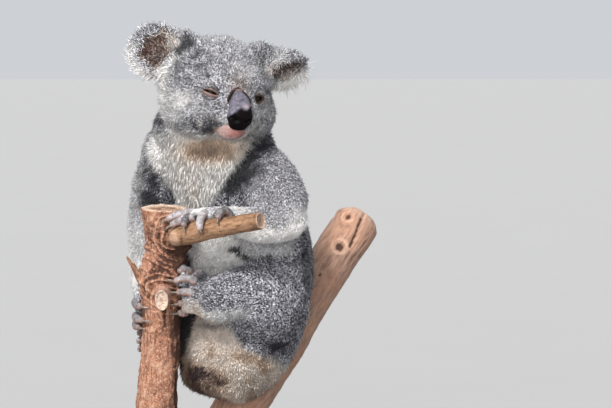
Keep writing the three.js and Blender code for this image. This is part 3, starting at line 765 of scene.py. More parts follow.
PATCH = 0.0015          # half of a tuft's patch in the OFBake map
STRAY = 0.05            # share of tufts that stand out: longer by STRAY_LONGER and steeper by STRAY_LIFT
STRAY_LONGER, STRAY_LIFT = 1.35, 0.18


def coat_piece(name, skin, chosen, style, rings=1):
    """One piece of coat over the chosen skin faces. style(fields) gives length, width, lift and tufts per cm2."""
    points, quads, normals, marks, way, fields = skin
    quads = quads[chosen]
    per_cm2 = style({k: v[quads].mean(1) for k, v in fields.items()})[3] * 1
    pick, weights = scatter(points, quads, per_cm2)
    corner = quads[pick]

    def mix(values):
        """Values at the roots from those of the four corners."""
        return (values[corner] * weights.reshape(weights.shape + (1,) * (values.ndim - 1))).sum(1)

    root, normal, lay, mark = mix(points), unit(mix(normals)), mix(way), mix(marks)
    n = len(root)
    here = {k: mix(v) for k, v in fields.items()}
    length, width, lift, _ = style(here)
    clump = np.stack([noise(root, 0.007, s) for s in (11, 12, 13)], -1)
    drift = np.stack([noise(root, 0.03, s) for s in (14, 15, 16)], -1)
    calm = 1 - 0.6 * here.get("bib", np.zeros(n))[:, None]
    lay = lay + calm * (clump * 0.5 + drift * 0.4 + rng.normal(0, 0.35, (n, 3)))
    lay = unit(lay - (lay * normal).sum(1, keepdims=True) * normal)
    length = length * MM * rng.uniform(0.7, 1.2, n)
    stray = rng.random(n) < STRAY
    length = np.where(stray, length * STRAY_LONGER, length)
    lift = np.clip(lift * rng.uniform(0.6, 1.35, n) + np.where(stray, STRAY_LIFT, 0), 0.05, 1.3)
    width = width * MM * rng.uniform(0.7, 1.3, n) * 1
    co, faces, along = locks(root, normal, lay, length, width, lift, rng.normal(0, 0.2, n), rings)
    per = 2 + 3 * rings
    tone, spare = rng.random(n), rng.random(n)
    strand = columns(tone[:, None], along, spare[:, None], 1.0)
    flat = unwrapped(points, quads)[pick]
    at = (flat * weights[..., None]).sum(1)
    fan = np.zeros((per, 2))
    fan[:, 1] = (along - 0.5) * 2 * PATCH
    fan[1:-1, 0] = np.tile([-PATCH, 0, PATCH], rings)
    uv = np.clip(at[:, None] + fan, 0, 1).reshape(-1, 2)[faces.ravel()]
    obj = build(name, co, faces, marks=np.repeat(mark, per, axis=0), strand=strand.reshape(-1, 4), uv=uv)
    return finish_piece(obj, MATERIALS["coat"], "fur")


# ------------------------------------------------------------------ node helpers

SOCKETS = {"colour": "Base Color", "rough": "Roughness", "shine": "Specular IOR Level", "normal": "Normal",
           "metal": "Metallic", "sheen": "Sheen Weight", "sheen_rough": "Sheen Roughness"}


class Nodes:
    """Short ways to add nodes to a material's or a group's tree."""

    def __init__(self, tree):
        self.tree = tree
        self.shader = tree.nodes.get("Principled BSDF")

    def add(self, kind, **settings):
        """A new shader node with its settings and inputs."""
        node = self.tree.nodes.new("ShaderNode" + kind)
        inputs = settings.pop("inputs", {})
        for key, value in settings.items():
            setattr(node, key, value)
        for key, value in inputs.items():
            self.put(node.inputs[key], value)
        return node

    def put(self, socket, value):
        """Links an output to a socket, or sets the socket's own value."""
        if isinstance(value, bpy.types.NodeSocket):
            self.tree.links.new(value, socket)
        else:
            socket.default_value = value

    def place(self):
        """Where the shaded point is, in the object's own coordinates."""
        return self.add("TexCoord").outputs["Object"]

    def painted(self, name="marks"):
        """The red, green, blue and alpha of a colour attribute."""
        kept = self.add("Attribute", attribute_name=name).outputs
        parts = self.add("SeparateColor", inputs={"Color": kept["Color"]}).outputs
        return parts["Red"], parts["Green"], parts["Blue"], kept["Alpha"]

    def scaled(self, vector, scale):
        """A vector with each axis multiplied."""
        return self.add("Mapping", inputs={"Vector": vector, "Scale": scale}).outputs["Vector"]

    def times(self, a, b):
        """Two values multiplied."""
        return self.math("MULTIPLY", a, b)

    def finish(self, **values):
        """Sets or links the shader's inputs, named by SOCKETS."""
        for key, value in values.items():
            self.put(self.shader.inputs[SOCKETS[key]], value)

    def fur(self, group, tone, along):
        """The fur's colour where the surface's marks, a tone and a share along the hair are given."""
        marks = self.add("Attribute", attribute_name="marks").outputs
        inputs = {"Marks": marks["Color"], "Pink": marks["Alpha"], "Tone": tone, "Along": along}
        return self.add("Group", node_tree=group, inputs=inputs).outputs["Color"]

    def noise(self, vector, scale, detail=2.0, rough=0.5):
        """Soft noise from 0 to 1."""
        return self.add("TexNoise", inputs={"Vector": vector, "Scale": scale, "Detail": detail,
                                            "Roughness": rough}).outputs["Fac"]

    def math(self, operation, a, b=0.0):
        """A Math node on two values."""
        node = self.add("Math", operation=operation)
        self.put(node.inputs[0], a)
        self.put(node.inputs[1], b)
        return node.outputs[0]

    def span(self, value, low, high, to_low=0.0, to_high=1.0):
        """A value mapped from one range to another, clamped."""
        return self.add("MapRange", inputs={"Value": value, "From Min": low, "From Max": high,
                                            "To Min": to_low, "To Max": to_high}).outputs["Result"]

    def mix(self, share, a, b, blend="MIX"):
        """Two colours mixed."""
        node = self.add("Mix", data_type="RGBA", blend_type=blend)
        self.put(node.inputs["Factor"], share)
        self.put(node.inputs["A"], a)
        self.put(node.inputs["B"], b)
        return node.outputs["Result"]

    def over(self, base, colour, value, low, high, most=1.0):
        """A colour laid over another as a value goes from low to high, up to the share `most`."""
        return self.mix(self.span(value, low, high, 0.0, most), base, colour)

    def bump(self, height, strength, distance):
        """A normal bent by a height."""
        bump = self.add("Bump", inputs={"Height": height, "Strength": strength, "Distance": distance})
        return bump.outputs["Normal"]


def rgb(r, g, b):
    """An opaque colour."""
    return (r, g, b, 1.0)


MATERIALS = {}


def material(key, name):
    """The Nodes of a new material, kept in MATERIALS."""
    mat = MATERIALS[key] = bpy.data.materials.new(name)
    mat.use_nodes = True
    return Nodes(mat.node_tree)


def coat_colours():
    """Node group: marks, a tuft's tone and its share along give the hair's colour, on skin and coat alike."""
    group = bpy.data.node_groups.new("Coat colours", "ShaderNodeTree")
    face = group.interface
    for title, kind in (("Marks", "NodeSocketColor"), ("Pink", "NodeSocketFloat"), ("Tone", "NodeSocketFloat"),
                        ("Along", "NodeSocketFloat")):
        face.new_socket(title, in_out="INPUT", socket_type=kind)
    face.new_socket("Color", in_out="OUTPUT", socket_type="NodeSocketColor")
    t = Nodes(group)
    given = group.nodes.new("NodeGroupInput").outputs
    place = t.place()
    marks = t.add("SeparateColor", inputs={"Color": given["Marks"]}).outputs
    patch = t.noise(place, 150.0, 2.0, 0.6)
    pepper = t.noise(place, 430.0, 2.0, 0.6)
    beside = t.add("VectorMath", operation="ADD", inputs={0: place, 1: (0.3, 0.1, 0.2)}).outputs["Vector"]
    salt = t.noise(beside, 470.0, 2.0, 0.6)
    speck = t.math("ADD", t.times(given["Tone"], 0.34), t.times(patch, 0.5))
    speck = t.math("ADD", t.math("SUBTRACT", speck, 0.36), t.times(salt, 1.15))
    grey = t.over(rgb(0.075, 0.075, 0.088), rgb(0.64, 0.64, 0.71), speck, 0.46, 0.66)
    grey = t.over(grey, rgb(0.97, 0.97, 1.0), speck, 0.72, 0.86)
    grey = t.over(grey, rgb(0.02, 0.02, 0.027), pepper, 0.50, 0.55, 0.95)
    root = t.over(rgb(0.20, 0.18, 0.18), rgb(1, 1, 1), given["Along"], 0.15, 0.8)
    grey = t.mix(0.8, grey, root, "MULTIPLY")
    cream = t.over(rgb(0.92, 0.89, 0.85), rgb(1.0, 0.99, 0.97), patch, 0.35, 0.7)
    cream = t.mix(t.span(given["Along"], 0.0, 0.3, 0.1, 0.0), cream, rgb(0.60, 0.50, 0.40))
    # the white share: pale fur, with painted light on the crown and jaw
    out = t.mix(marks["Red"], grey, cream)
    out = t.mix(t.span(marks["Green"], 0.0, 0.5), out, rgb(0.80, 0.62, 0.47), "MULTIPLY")
    brown = t.over(rgb(0.024, 0.009, 0.006), rgb(0.115, 0.044, 0.031), speck, 0.45, 0.95)
    out = t.mix(t.span(marks["Green"], 0.35, 1.0), out, brown)
    # the dark share: dark fur, and painted shade in creases, gaps and hollows
    out = t.mix(t.times(marks["Blue"], 0.95), out, rgb(0.014, 0.014, 0.018))
    out = t.mix(given["Pink"], out, rgb(0.52, 0.27, 0.23))
    t.put(group.nodes.new("NodeGroupOutput").inputs["Color"], out)
    return group


def make_materials():
    """Fills MATERIALS with the skin, coat, face, paw, bark, wood and steel materials."""
    colours = coat_colours()

    t = material("coat", "Koala coat")
    tone, along, _, _ = t.painted("strand")
    t.finish(colour=t.fur(colours, tone, along), rough=0.75, shine=0.12, sheen=0.09, sheen_rough=0.5)

    t = material("skin", "Koala skin")
    place = t.place()
    t.finish(colour=t.fur(colours, t.noise(place, 900.0, 2.0), 0.35),
             normal=t.bump(t.noise(place, 700.0, 3.0), 0.6, 0.001), rough=0.85)

    t = material("nose", "Nose leather")
    place = t.place()
    red, green, blue, _ = t.painted()
    pebbles = t.add("TexVoronoi", inputs={"Vector": place, "Scale": 1100.0}).outputs["Distance"]
    mottle = t.noise(place, 260.0, 3.0, 0.6)
    upper = t.over(rgb(0.065, 0.06, 0.078), rgb(0.155, 0.145, 0.18), mottle, 0.35, 0.65)
    # blue: a painted highlight
    upper = t.mix(blue, upper, rgb(0.34, 0.27, 0.31))
    colour = t.mix(red, upper, t.mix(mottle, rgb(0.002, 0.001, 0.001), rgb(0.005, 0.003, 0.004)))
    # green: the nostrils, painted near black as the shade inside them
    t.finish(colour=t.mix(green, colour, rgb(0.002, 0.002, 0.002)),
             normal=t.bump(pebbles, 0.35, 0.0006), rough=t.span(mottle, 0.3, 0.7, 0.42, 0.6), shine=0.06)

    t = material("lip", "Bare lip")
    place = t.place()
    red, green, blue, _ = t.painted()
    mottle = t.noise(place, 420.0, 3.0, 0.6)
    colour = t.over(rgb(0.20, 0.125, 0.115), rgb(0.31, 0.225, 0.21), mottle, 0.35, 0.65)
    colour = t.mix(t.times(blue, 0.9), colour,
                   t.mix(mottle, rgb(0.13, 0.045, 0.038), rgb(0.29, 0.115, 0.095)))
    colour = t.mix(green, colour, rgb(0.16, 0.09, 0.06))
    t.finish(colour=t.mix(red, colour, rgb(0.05, 0.03, 0.03)),
             normal=t.bump(t.noise(place, 900.0, 2.0), 0.4, 0.0006), rough=0.5)

    t = material("lid", "Eyelid skin")
    place = t.place()
    red, green, blue, alpha = t.painted()
    mottle = t.noise(place, 600.0, 3.0, 0.6)
    colour = t.over(rgb(0.07, 0.06, 0.058), rgb(0.20, 0.17, 0.16), mottle, 0.3, 0.7)
    colour = t.mix(red, colour, t.mix(mottle, rgb(0.155, 0.085, 0.075), rgb(0.32, 0.205, 0.185)))
    # blue: painted shade in the lids' crease
    colour = t.mix(blue, colour, rgb(0.12, 0.06, 0.05))
    colour = t.mix(alpha, colour, rgb(0.40, 0.24, 0.21))
    # green: the lids' dark wet edge, and painted shade on the sides of the nose fold
    t.finish(colour=t.mix(green, colour, rgb(0.016, 0.008, 0.006)),
             normal=t.bump(t.noise(place, 1300.0, 2.0), 0.4, 0.0005), rough=0.55, shine=0.2)

    t = material("eye", "Eye")
    red, green, blue, _ = t.painted()
    fibres = t.noise(t.place(), 1500.0, 2.0)
    colour = t.mix(red, rgb(0.012, 0.008, 0.007),
                   t.mix(fibres, rgb(0.005, 0.003, 0.002), rgb(0.016, 0.008, 0.005)))
    t.finish(colour=t.mix(green, colour, rgb(0.003, 0.003, 0.003)), rough=0.12, shine=0.12)

    t = material("claw", "Claw horn")
    streaks = t.noise(t.scaled(t.place(), (1.0, 1.0, 0.25)), 700.0, 2.0)
    t.finish(colour=t.over(rgb(0.055, 0.04, 0.036), rgb(0.27, 0.215, 0.18), streaks, 0.3, 0.7),
             normal=t.bump(streaks, 0.2, 0.0004), rough=0.35)

    t = material("paw", "Paw skin")
    place = t.place()
    red, green, blue, alpha = t.painted()
    mottle = t.noise(place, 240.0, 3.0, 0.6)
    fine = t.noise(place, 900.0, 2.0)
    pale = t.over(rgb(0.19, 0.165, 0.17), rgb(0.47, 0.44, 0.45), mottle, 0.35, 0.65)
    dusky = t.over(rgb(0.018, 0.016, 0.018), rgb(0.10, 0.088, 0.095), mottle, 0.35, 0.65)
    # alpha: each digit's darkness, partly painted shade
    colour = t.mix(alpha, pale, dusky)
    colour = t.mix(t.times(green, 0.7), colour, rgb(0.30, 0.16, 0.12))
    # blue: painted shade in the creases
    colour = t.over(colour, rgb(0.05, 0.03, 0.03), blue, 0.2, 1.0, 0.8)
    t.finish(colour=t.over(colour, rgb(0.42, 0.40, 0.40), fine, 0.5, 0.62, 0.3),
             normal=t.bump(fine, 0.5, 0.0008), rough=0.6)

    t = material("bark", "Gum bark")
    place = t.place()
    relief, end, age, tint = t.painted()
    wood = t.add("Attribute", attribute_name="strand").outputs["Vector"]
    fleck = t.noise(t.scaled(wood, (1.0, 1.0, 0.16)), 330.0, 4.0, 0.65)
    patch = t.noise(place, 28.0, 3.0, 0.6)
    crumb = t.noise(place, 620.0, 3.0, 0.6)
    red = t.over(rgb(0.15, 0.052, 0.027), rgb(0.49, 0.23, 0.14), fleck, 0.36, 0.62)
    red = t.over(red, rgb(0.82, 0.56, 0.44), crumb, 0.52, 0.68, 0.7)
    red = t.over(red, rgb(0.16, 0.055, 0.03), crumb, 0.44, 0.34, 0.7)
    red = t.over(red, rgb(0.62, 0.35, 0.24), patch, 0.5, 0.8, 0.5)
    fresh = t.over(rgb(0.15, 0.07, 0.035), rgb(0.46, 0.27, 0.155), fleck, 0.34, 0.64)
    fresh = t.over(fresh, rgb(0.64, 0.44, 0.30), crumb, 0.52, 0.68, 0.5)
    tan = t.over(rgb(0.22, 0.125, 0.095), rgb(0.46, 0.305, 0.245), fleck, 0.3, 0.7)
    tan = t.over(tan, rgb(0.46, 0.25, 0.17), patch, 0.4, 0.75)
    colour = t.mix(t.span(tint, 0.0, 0.5), red, fresh)
    colour = t.mix(t.span(tint, 0.5, 1.0), colour, tan)
    # painted shade: the bark goes dark where the relief marks are low, in its crevices and under trunk_shade's
    # painted shadows
    colour = t.over(colour, rgb(0.05, 0.02, 0.012), relief, 0.46, 0.12, 0.93)
    colour = t.over(colour, rgb(0.74, 0.48, 0.34), relief, 0.62, 0.95, 0.6)
    rings = t.math("SINE", t.times(t.math("ADD", age, t.times(patch, 0.3)), 60.0))
    worn = t.over(rgb(0.50, 0.31, 0.20), rgb(0.80, 0.58, 0.42), rings, -1.0, 1.0)
    worn = t.over(worn, rgb(0.22, 0.10, 0.055), t.noise(place, 90.0, 3.0, 0.6), 0.45, 0.6)
    pale = t.over(rgb(0.66, 0.48, 0.36), rgb(1.0, 0.88, 0.74), fleck, 0.4, 0.6)
    worn = t.mix(t.span(age, 0.60, 0.80), worn, pale)
    clean = t.over(rgb(0.56, 0.43, 0.34), rgb(0.78, 0.66, 0.55), rings, -1.0, 1.0)
    middle = t.times(t.span(age, 0.82, 0.66), t.span(tint, 0.8, 0.6))
    clean = t.mix(t.times(middle, 0.75), clean, rgb(0.36, 0.24, 0.18))
    cut = t.mix(t.span(tint, 0.1, 0.5), worn, clean)
    cut = t.mix(t.span(crumb, 0.40, 0.58, 0.7, 0.0), cut, rgb(0.20, 0.10, 0.06))
    pith = t.times(t.span(age, 0.35, 0.1), t.span(tint, 0.3, 0.5))
    cut = t.mix(t.times(pith, 0.6), cut, rgb(0.24, 0.13, 0.09))
    colour = t.mix(end, colour, cut)
    colour = t.mix(t.span(tint, 0.55, 0.8, 1.0, 0.45), colour, rgb(0.68, 0.66, 0.64), "MULTIPLY")
    grain = t.math("ADD", fleck, t.times(t.noise(place, 1200.0, 2.0), 0.3))
    t.finish(colour=colour, normal=t.bump(grain, 0.5, 0.0012), rough=0.85, shine=0.3)

    t = material("wood", "Stand wood")
    place = t.place()
    rings = t.add("TexWave", wave_type="BANDS", bands_direction="Y",
                  inputs={"Vector": t.scaled(place, (0.25, 1.0, 1.0)), "Scale": 16.0, "Distortion": 5.0,
                          "Detail": 3.0, "Detail Scale": 1.2}).outputs["Fac"]
    pores = t.noise(t.scaled(place, (0.12, 1.0, 1.0)), 600.0, 3.0)
    colour = t.mix(rings, rgb(0.034, 0.024, 0.019), rgb(0.052, 0.036, 0.028))
    colour = t.over(colour, rgb(0.016, 0.011, 0.008), pores, 0.62, 0.75)
    t.finish(colour=colour, normal=t.bump(pores, 0.15, 0.0004), rough=t.span(pores, 0.3, 0.7, 0.50, 0.62), shine=0.2)

    t = material("steel", "Brushed steel")
    brushed = t.noise(t.scaled(t.place(), (1.0, 1.0, 30.0)), 200.0, 2.0)
    t.finish(colour=t.mix(brushed, rgb(0.45, 0.45, 0.46), rgb(0.62, 0.62, 0.63)),
             normal=t.bump(brushed, 0.1, 0.0002), rough=t.span(brushed, 0.3, 0.7, 0.25, 0.42), metal=1.0)


make_materials()


# ------------------------------------------------------------------ koala

def coat_fields(points, normals, marks, soft, shares):
    """What the styles of the coat go by, at each vertex of the skin."""
    fields = {**soft, **{"share_" + k: v for k, v in shares.items()}}
    fields["face"] = ease(-to_head(points)[:, 1], 5, 45)
    fields["near_eye"] = np.maximum(*(around_head(points, (x, -48, -2), (16, 20, 12)) for x in (31.5, -31.5)))
    fields["near_nose"] = around_head(points, (0, -62, -22), (24, 24, 26))
    fields["bare"], fields["white"] = marks[:, 3], marks[:, 0]
    fields["bib"] = soft["torso"] * ease(points[:, 2], 0.42, 0.46) * marks[:, 0]
    fields["up"] = normals[:, 2]
    fields["digit"] = near_digits(points, 1.0, -0.5)
    fields["fringe"] = wisps(points)
    fields["rim"], fields["under"] = np.zeros(len(points)), np.zeros(len(points))
    for side in ("right", "left"):
        centre, axis, _ = ear_frame(side)
        flat, radius = flattened(points, centre, axis), EARS[side][2]
        out = np.linalg.norm(flat, axis=1)
        facing_out = (normals * flat).sum(1) / (out + 1e-6)
        rim = ease(facing_out, 0.35, 0.8) * ease(out, 0.72 * radius * MM, 0.9 * radius * MM)
        under = ease(-flat[:, 2] / (out + 1e-6), -0.5, 0.5)
        fields["rim"] = np.maximum(fields["rim"], rim * soft["ear_" + side])
        fields["under"] = np.maximum(fields["under"], under * soft["ear_" + side])
    return fields


points, quads = make_skin()
normals = vertex_normals(points, quads)
marks, soft, way, shares = marks_and_shade(points, normals)
fields = coat_fields(points, normals, marks, soft, shares)
way = relaxed(way, quads, 0.5, 20)
finish_piece(build("koala_skin", points, quads, marks=marks), MATERIALS["skin"], "fur", *FLESH)
SKIN = (points, quads, normals, marks, way, fields)

region = np.argmax(np.array([soft[r][quads].mean(1) for r in REGIONS]), axis=0)
middle = points[quads].mean(1)


def is_in(*names):
    """The skin faces whose main region is one of these."""
    return np.isin(region, [REGIONS.index(n) for n in names])


def body_style(f):
    """Length, width, lift and tufts per cm2 away from the head: longest on the chest, short on hands and feet."""
    wrist = sum(f["forearm_" + s] * ease(f["share_forearm_" + s], 0.45, 1) for s in ("left", "right"))
    ankle = sum(f["shank_" + s] * ease(f["share_shank_" + s], 0.35, 1) for s in ("left", "right"))
    small = np.clip(sum(f[paw] for paw in PAWS) + 0.35 * wrist + 0.5 * ankle, 0, 1)
    chest = f["bib"]
    length = (7.2 + 6 * chest) * (1 - 0.55 * small)
    width = (1.12 - 0.36 * chest) * (1 - 0.4 * small)
    lift = 0.95 - 0.62 * chest - 0.5 * small
    return length, width, lift, (60 + 62 * small + 128 * chest) * (1 - f["digit"])


def head_style(f):
    """The same on the head: shortest at the nose and eyes, longer over the cheeks and crown."""
    short = np.clip(np.maximum(f["near_eye"], f["near_nose"]), 0, 1)
    length = (8.5 - 3.0 * f["face"] + 6 * f["white"] * (1 - f["face"])) * (1 - 0.5 * short)
    width = (1.0 - 0.2 * f["face"]) * (1 - 0.3 * short)
    lift = 0.8 - 0.4 * short
    return length, width, lift, (100 + 60 * f["face"] + 50 * short) * (1 - ease(f["bare"], 0.3, 0.6))


def ear_style(f):
    """Ears: short hair inside, a long soft fringe that stands out from the rim, longest below."""
    length = 9 + f["rim"] * (2 + (8 + 9 * f["ear_left"]) * f["under"])
    fringe = f["fringe"]
    lift = 0.55 + f["rim"] * (0.4 - 0.6 * f["under"])
    return (length * (1 - fringe) + 22 * fringe, 1.05 - 0.3 * np.maximum(f["rim"], fringe),
            lift * (1 - fringe) + 0.2 * fringe, 85 + f["rim"] * (50 + 60 * f["under"]) * (1 - fringe) + 90 * fringe)


def lid_style(f):
    """The finest hair, on the lids."""
    one = 1 + 0 * f["up"]
    return 3.4 * one, 0.75 * one, 0.4 * one, 380 * one


head = is_in("head")
front = to_head(middle)[:, 1] < -8
coat_piece("coat_face", SKIN, head & front, head_style)
coat_piece("coat_crown", SKIN, head & ~front, head_style)
coat_piece("coat_ears", SKIN, is_in("ear_right", "ear_left"), ear_style, rings=2)
torso = is_in("torso")
chest, high = middle[:, 1] < 0.0, middle[:, 2] > 0.40
for name, part in (("bib", chest & high), ("belly", chest & ~high),
                   ("back", ~chest & high), ("rump", ~chest & ~high)):
    coat_piece("coat_" + name, SKIN, torso & part, body_style)
for limb, parts in (("arm", ("upper_arm_", "forearm_", "hand_")), ("leg", ("thigh_", "shank_", "foot_"))):
    for side in ("left", "right"):
        coat_piece("coat_%s_%s" % (limb, side), SKIN, is_in(*(part + side for part in parts)), body_style)


# ------------------------------------------------------------------ face

def oval_tube(path, across, rows, sides, boxy=1.0, ends=(0.6, 0.6)):
    """(rows, sides, 3) rings of ovals along a path in the head's frame, and their outward directions.

    A ring is centre + half width * bent(cos a) * across + half depth * bent(sin a) * out, where bent(c) is
    sign(c) |c|^boxy, and its size falls to zero as sqrt(1 - t^2) over the `ends` shares of the half width.
    """
    p = spline(path, rows)
    along = unit(np.gradient(p[:, :3], axis=0))
    reach = np.array([p[0, 3], p[-1, 3]]) * ends
    turn = np.linspace(0, 1, 9)[1:-1] * math.pi / 2
    head = [(p[0], along[0], -reach[0] * math.cos(t), math.sin(t)) for t in turn]
    tail = [(p[-1], along[-1], reach[1] * math.sin(t), math.cos(t)) for t in turn]
    body = [(q, d, 0, 1) for q, d in zip(p, along)]
    angle = np.linspace(0, 2 * math.pi, sides, endpoint=False)
    wide, deep = ((np.sign(k) * np.abs(k) ** boxy)[:, None] for k in (np.cos(angle), np.sin(angle)))
    rings = []
    for q, d, beyond, share in head + body + tail:
        side = unit(across - (across @ d) * d)
        out = np.cross(side, d)
        rings.append(q[:3] + d * beyond + share * (q[3] * wide * side + q[4] * deep * out))
    return np.array(rings)


def face_piece(name, points, faces, caps, marks, key, slot, *nodes):
    """A closed piece from points in the head's frame."""
    obj = build(name, from_head(points), *turned_out(points, faces, caps), marks=marks)
    finish_piece(obj, MATERIALS[key], slot, *nodes)


def dimple(points, centre, radius, depth):
    """Points moved along +Y of the head's frame by depth * exp(-(distance / radius)^2)."""
    return points + bell(points, centre, radius)[..., None] * np.array([0, depth, 0])


def make_nose():
    """The leathery nose pad: an upright oval, flat in front, with two nostrils and a faint furrow between them."""
    rings = oval_tube(NOSE_PATH, np.array([1.0, 0, 0]), 60, 72, 0.82, (0.9, 0.5))
    for side in (-1, 1):
        rings = dimple(rings, (7.0 * side, -75, -31.5), (3.2, 8, 2.4), 5.0)
        rings = dimple(rings, (11.0 * side, -72, -28.5), (3.4, 8, 2.0), 4.0)
    rings = dimple(rings, (0, -75, -34), (1.2, 8, 6), 1.0)
    rings = rings + lumps(rings, 0.0022, 21)[..., None] * np.array([0, 0.16, 0])
    points, faces, caps = tube(rings)
    edge = np.interp(points[:, 0], [-14, -8, -4, 0, 5, 9, 14], [-27, -21, -18, -18, -20, -15, -11])
    black = ease(edge - points[:, 2] + 2.2 * noise(points * MM, 0.004, 22), -2, 2)
    # the nostrils, painted near black as the shade inside them
    nostril = np.clip(sum(bell(points, (7.5 * s, -72, -31), (4.5, 12, 3)) for s in (-1, 1)), 0, 1)
    # painted highlight: a pale spot on the upper pad
    pale = 0.8 * bell(points, (4, -72, -14.5), (4.5, 12, 3))
    face_piece("nose_pad", points, faces, caps, columns(black, nostril, pale, 0.0), "nose", "skin", "nose")


def make_nose_fold():
    """A fold of bare skin arched over the top of the nose pad: a thin tube from one side to the other."""
    turn = np.linspace(math.radians(24), math.radians(156), 13)
    path = [(15.2 * math.cos(a), -59 + 7.0 * math.sin(a) ** 2, -18.5 + 21.5 * math.sin(a),
             1.2 + 0.2 * math.sin(a), 1.5) for a in turn]
    rings = oval_tube(path, np.array([0.0, 1, 0]), 90, 16)
    points, faces, caps = tube(rings)
    # green: painted shade, near black along the fold's sides where it meets the fur
    marks = columns(1.0, ease(np.abs(points[:, 0]), 2, 5), 0.0, 0.0)
    face_piece("nose_fold", points, faces, caps, marks, "lid", "skin")


DIGIT_RADII = (5.0, 4.8, 4.7, 3.8)          # from root to tip


def make_digits(limb):
    """The digits of one paw: tubes with swollen knuckles, creased across each joint, pads beneath."""
    parts, faces, marks, start = [], [], [], 0
    for n, (line, tone) in enumerate(DIGITS[limb]):
        path = [p + (r, r * 0.95) for p, r in zip(line, DIGIT_RADII)]
        rings = oval_tube(path, np.array([0.1, 0.2, 1.0]), 48, 28, 0.92, (0.5, 0.9))
        middle = rings.mean(1, keepdims=True)
        share = np.linspace(0, 1, len(rings))[:, None]
        spoke = rings - middle
        knuckle = 0.13 * hump(share, 0.36, 0.07) + 0.10 * hump(share, 0.64, 0.06)
        crease = sum(hump(share, c, 0.012) for c in (0.32, 0.36, 0.40, 0.61, 0.65))
        waist = 0.10 * hump(share, 0.50, 0.06) + 0.08 * hump(share, 0.78, 0.05)
        rough = lumps(rings, 0.003, 24 + n)
        rings = middle + spoke * (1 + knuckle - waist - 0.05 * crease + 0.07 * rough)[..., None]
        points, body, caps = tube(rings)
        body, caps = turned_out(points, body, caps)
        shade = np.zeros((len(points), 4))
        shade[:-2, 1] = np.clip(ease(-unit(spoke)[..., 2], -0.1, 0.7) + 0.5 * ease(share, 0.75, 0.95), 0, 1).ravel()
        # blue: painted shade in the creases across the joints
        shade[:-2, 2] = (0.6 * crease * np.ones(rings.shape[1])).ravel()
        shade[:, 3] = tone
        parts.append(points)
        marks.append(shade)
        faces.append((body + start, caps + start))
        start += len(points)
    obj = build("digits_" + limb, np.vstack(parts) * MM, np.vstack([f for f, _ in faces]),
                np.vstack([c for _, c in faces]), marks=np.vstack(marks))
    finish_piece(obj, MATERIALS["paw"], "skin")


def make_lip():
    """The bare lower lip: a soft cushion bulging under the nose, creased where the mouth closes above it."""
    path = [(-17.5, -46, -41, 7, 4), (-13.5, -50.5, -43, 9.5, 6), (-6, -54.5, -44, 10.5, 7.5),
            (4, -55, -42.5, 8.5, 7), (10, -50, -40, 4, 4)]
    rings = oval_tube(path, np.array([0.0, 0, 1]), 40, 40, 0.95)
    rings = rings + lumps(rings, 0.004, 23)[..., None] * np.array([0, 0.35, 0.2])
    points, faces, caps = tube(rings)
    x, _, z = points.T
    marks = columns(ease(z + 0.12 * x, -41, -38.5), ease(-x, 17, 22),
                    ease(x + 3 * noise(points * MM, 0.005, 25), -17, -5) * ease(z, -53, -49), 0.0)
    face_piece("lower_lip", points, faces, caps, marks, "lip", "skin")


# half width, upper and lower half height of the slit, its slant towards the inner corner in degrees
EYE_SLITS = {"right": (8.4, 1.9, 1.0, 15), "left": (8.0, 3.8, 3.4, 22)}
# how far an eye sits from the solid's middle and how far outwards it looks
EYE_SHIFT = {"right": (2.0, 0, -0.5, 0.36), "left": (-5.5, -0.5, -3.8, -0.25)}


def eye_axes(side):
    """An eye's middle, and its outer-corner, upward and gazing directions in the head's frame, as rows."""
    sign = 1 if side == "left" else -1
    *shift, outwards = EYE_SHIFT[side]
    middle = np.array(EYE_AT, float) * (sign, 1, 1) + shift
    gaze = unit(np.array([outwards * sign, -0.9, 0.03]))
    outer = unit(np.cross(gaze, [0, 0, 1.0]) * -sign)
    up = np.array([0, 0, 1.0]) - gaze[2] * gaze
    slant = math.radians(EYE_SLITS[side][3])
    up = unit(up)
    outer, up = math.cos(slant) * outer + math.sin(slant) * up, math.cos(slant) * up - math.sin(slant) * outer
    return middle, np.array([outer, up, gaze])


def make_eye(side):
    """The eyeball: a ball with a cornea that bulges as 0.9 (1 - (a / 0.75)^2) mm over an iris of 0.75 rad."""
    middle, axes = eye_axes(side)
    polar = np.linspace(0.02, math.pi - 0.02, 40)
    turn = np.linspace(0, 2 * math.pi, 48, endpoint=False)
    a, b = np.meshgrid(polar, turn, indexing="ij")
    radius = EYE_RADIUS - 0.7 + 0.9 * np.clip(1 - (a / 0.75) ** 2, 0, 1)
    ball = np.stack([np.sin(a) * np.cos(b), np.sin(a) * np.sin(b), np.cos(a)], -1) * radius[..., None]
    points, faces, caps = tube(ball)
    x, y, z = (points / EYE_RADIUS).T
    iris = np.where(z > 0, ease(-np.hypot(x, y), -0.66, -0.56), 0)
    pupil = np.where(z > 0, ease(-np.hypot(x / 0.16, y / 0.42), -1.15, -0.85), 0)
    marks = columns(iris, pupil, 0.0, 0.0)
    face_piece("eyeball_" + side, middle + points @ axes, faces, caps, marks, "eye", "eye", "eye_" + side)


# shares of the sheet: bare margin above and below, dark wet edge above and below, its rise at the corners,
# and where the lids' coat starts
# the left eye's wide dark edge is partly painted shade of its deep socket
LID_MARKS = {"right": ((0.17, 0.27), (0.12, 0.035), 0.12, 0.2), "left": ((0.03, 0.14), (0.42, 0.2), 0.25, 0.18)}


def dome(r2):
    """Height of the lids over the eye's middle, where r2 is the squared distance from the gaze line."""
    return 9.9 - 0.05 * r2


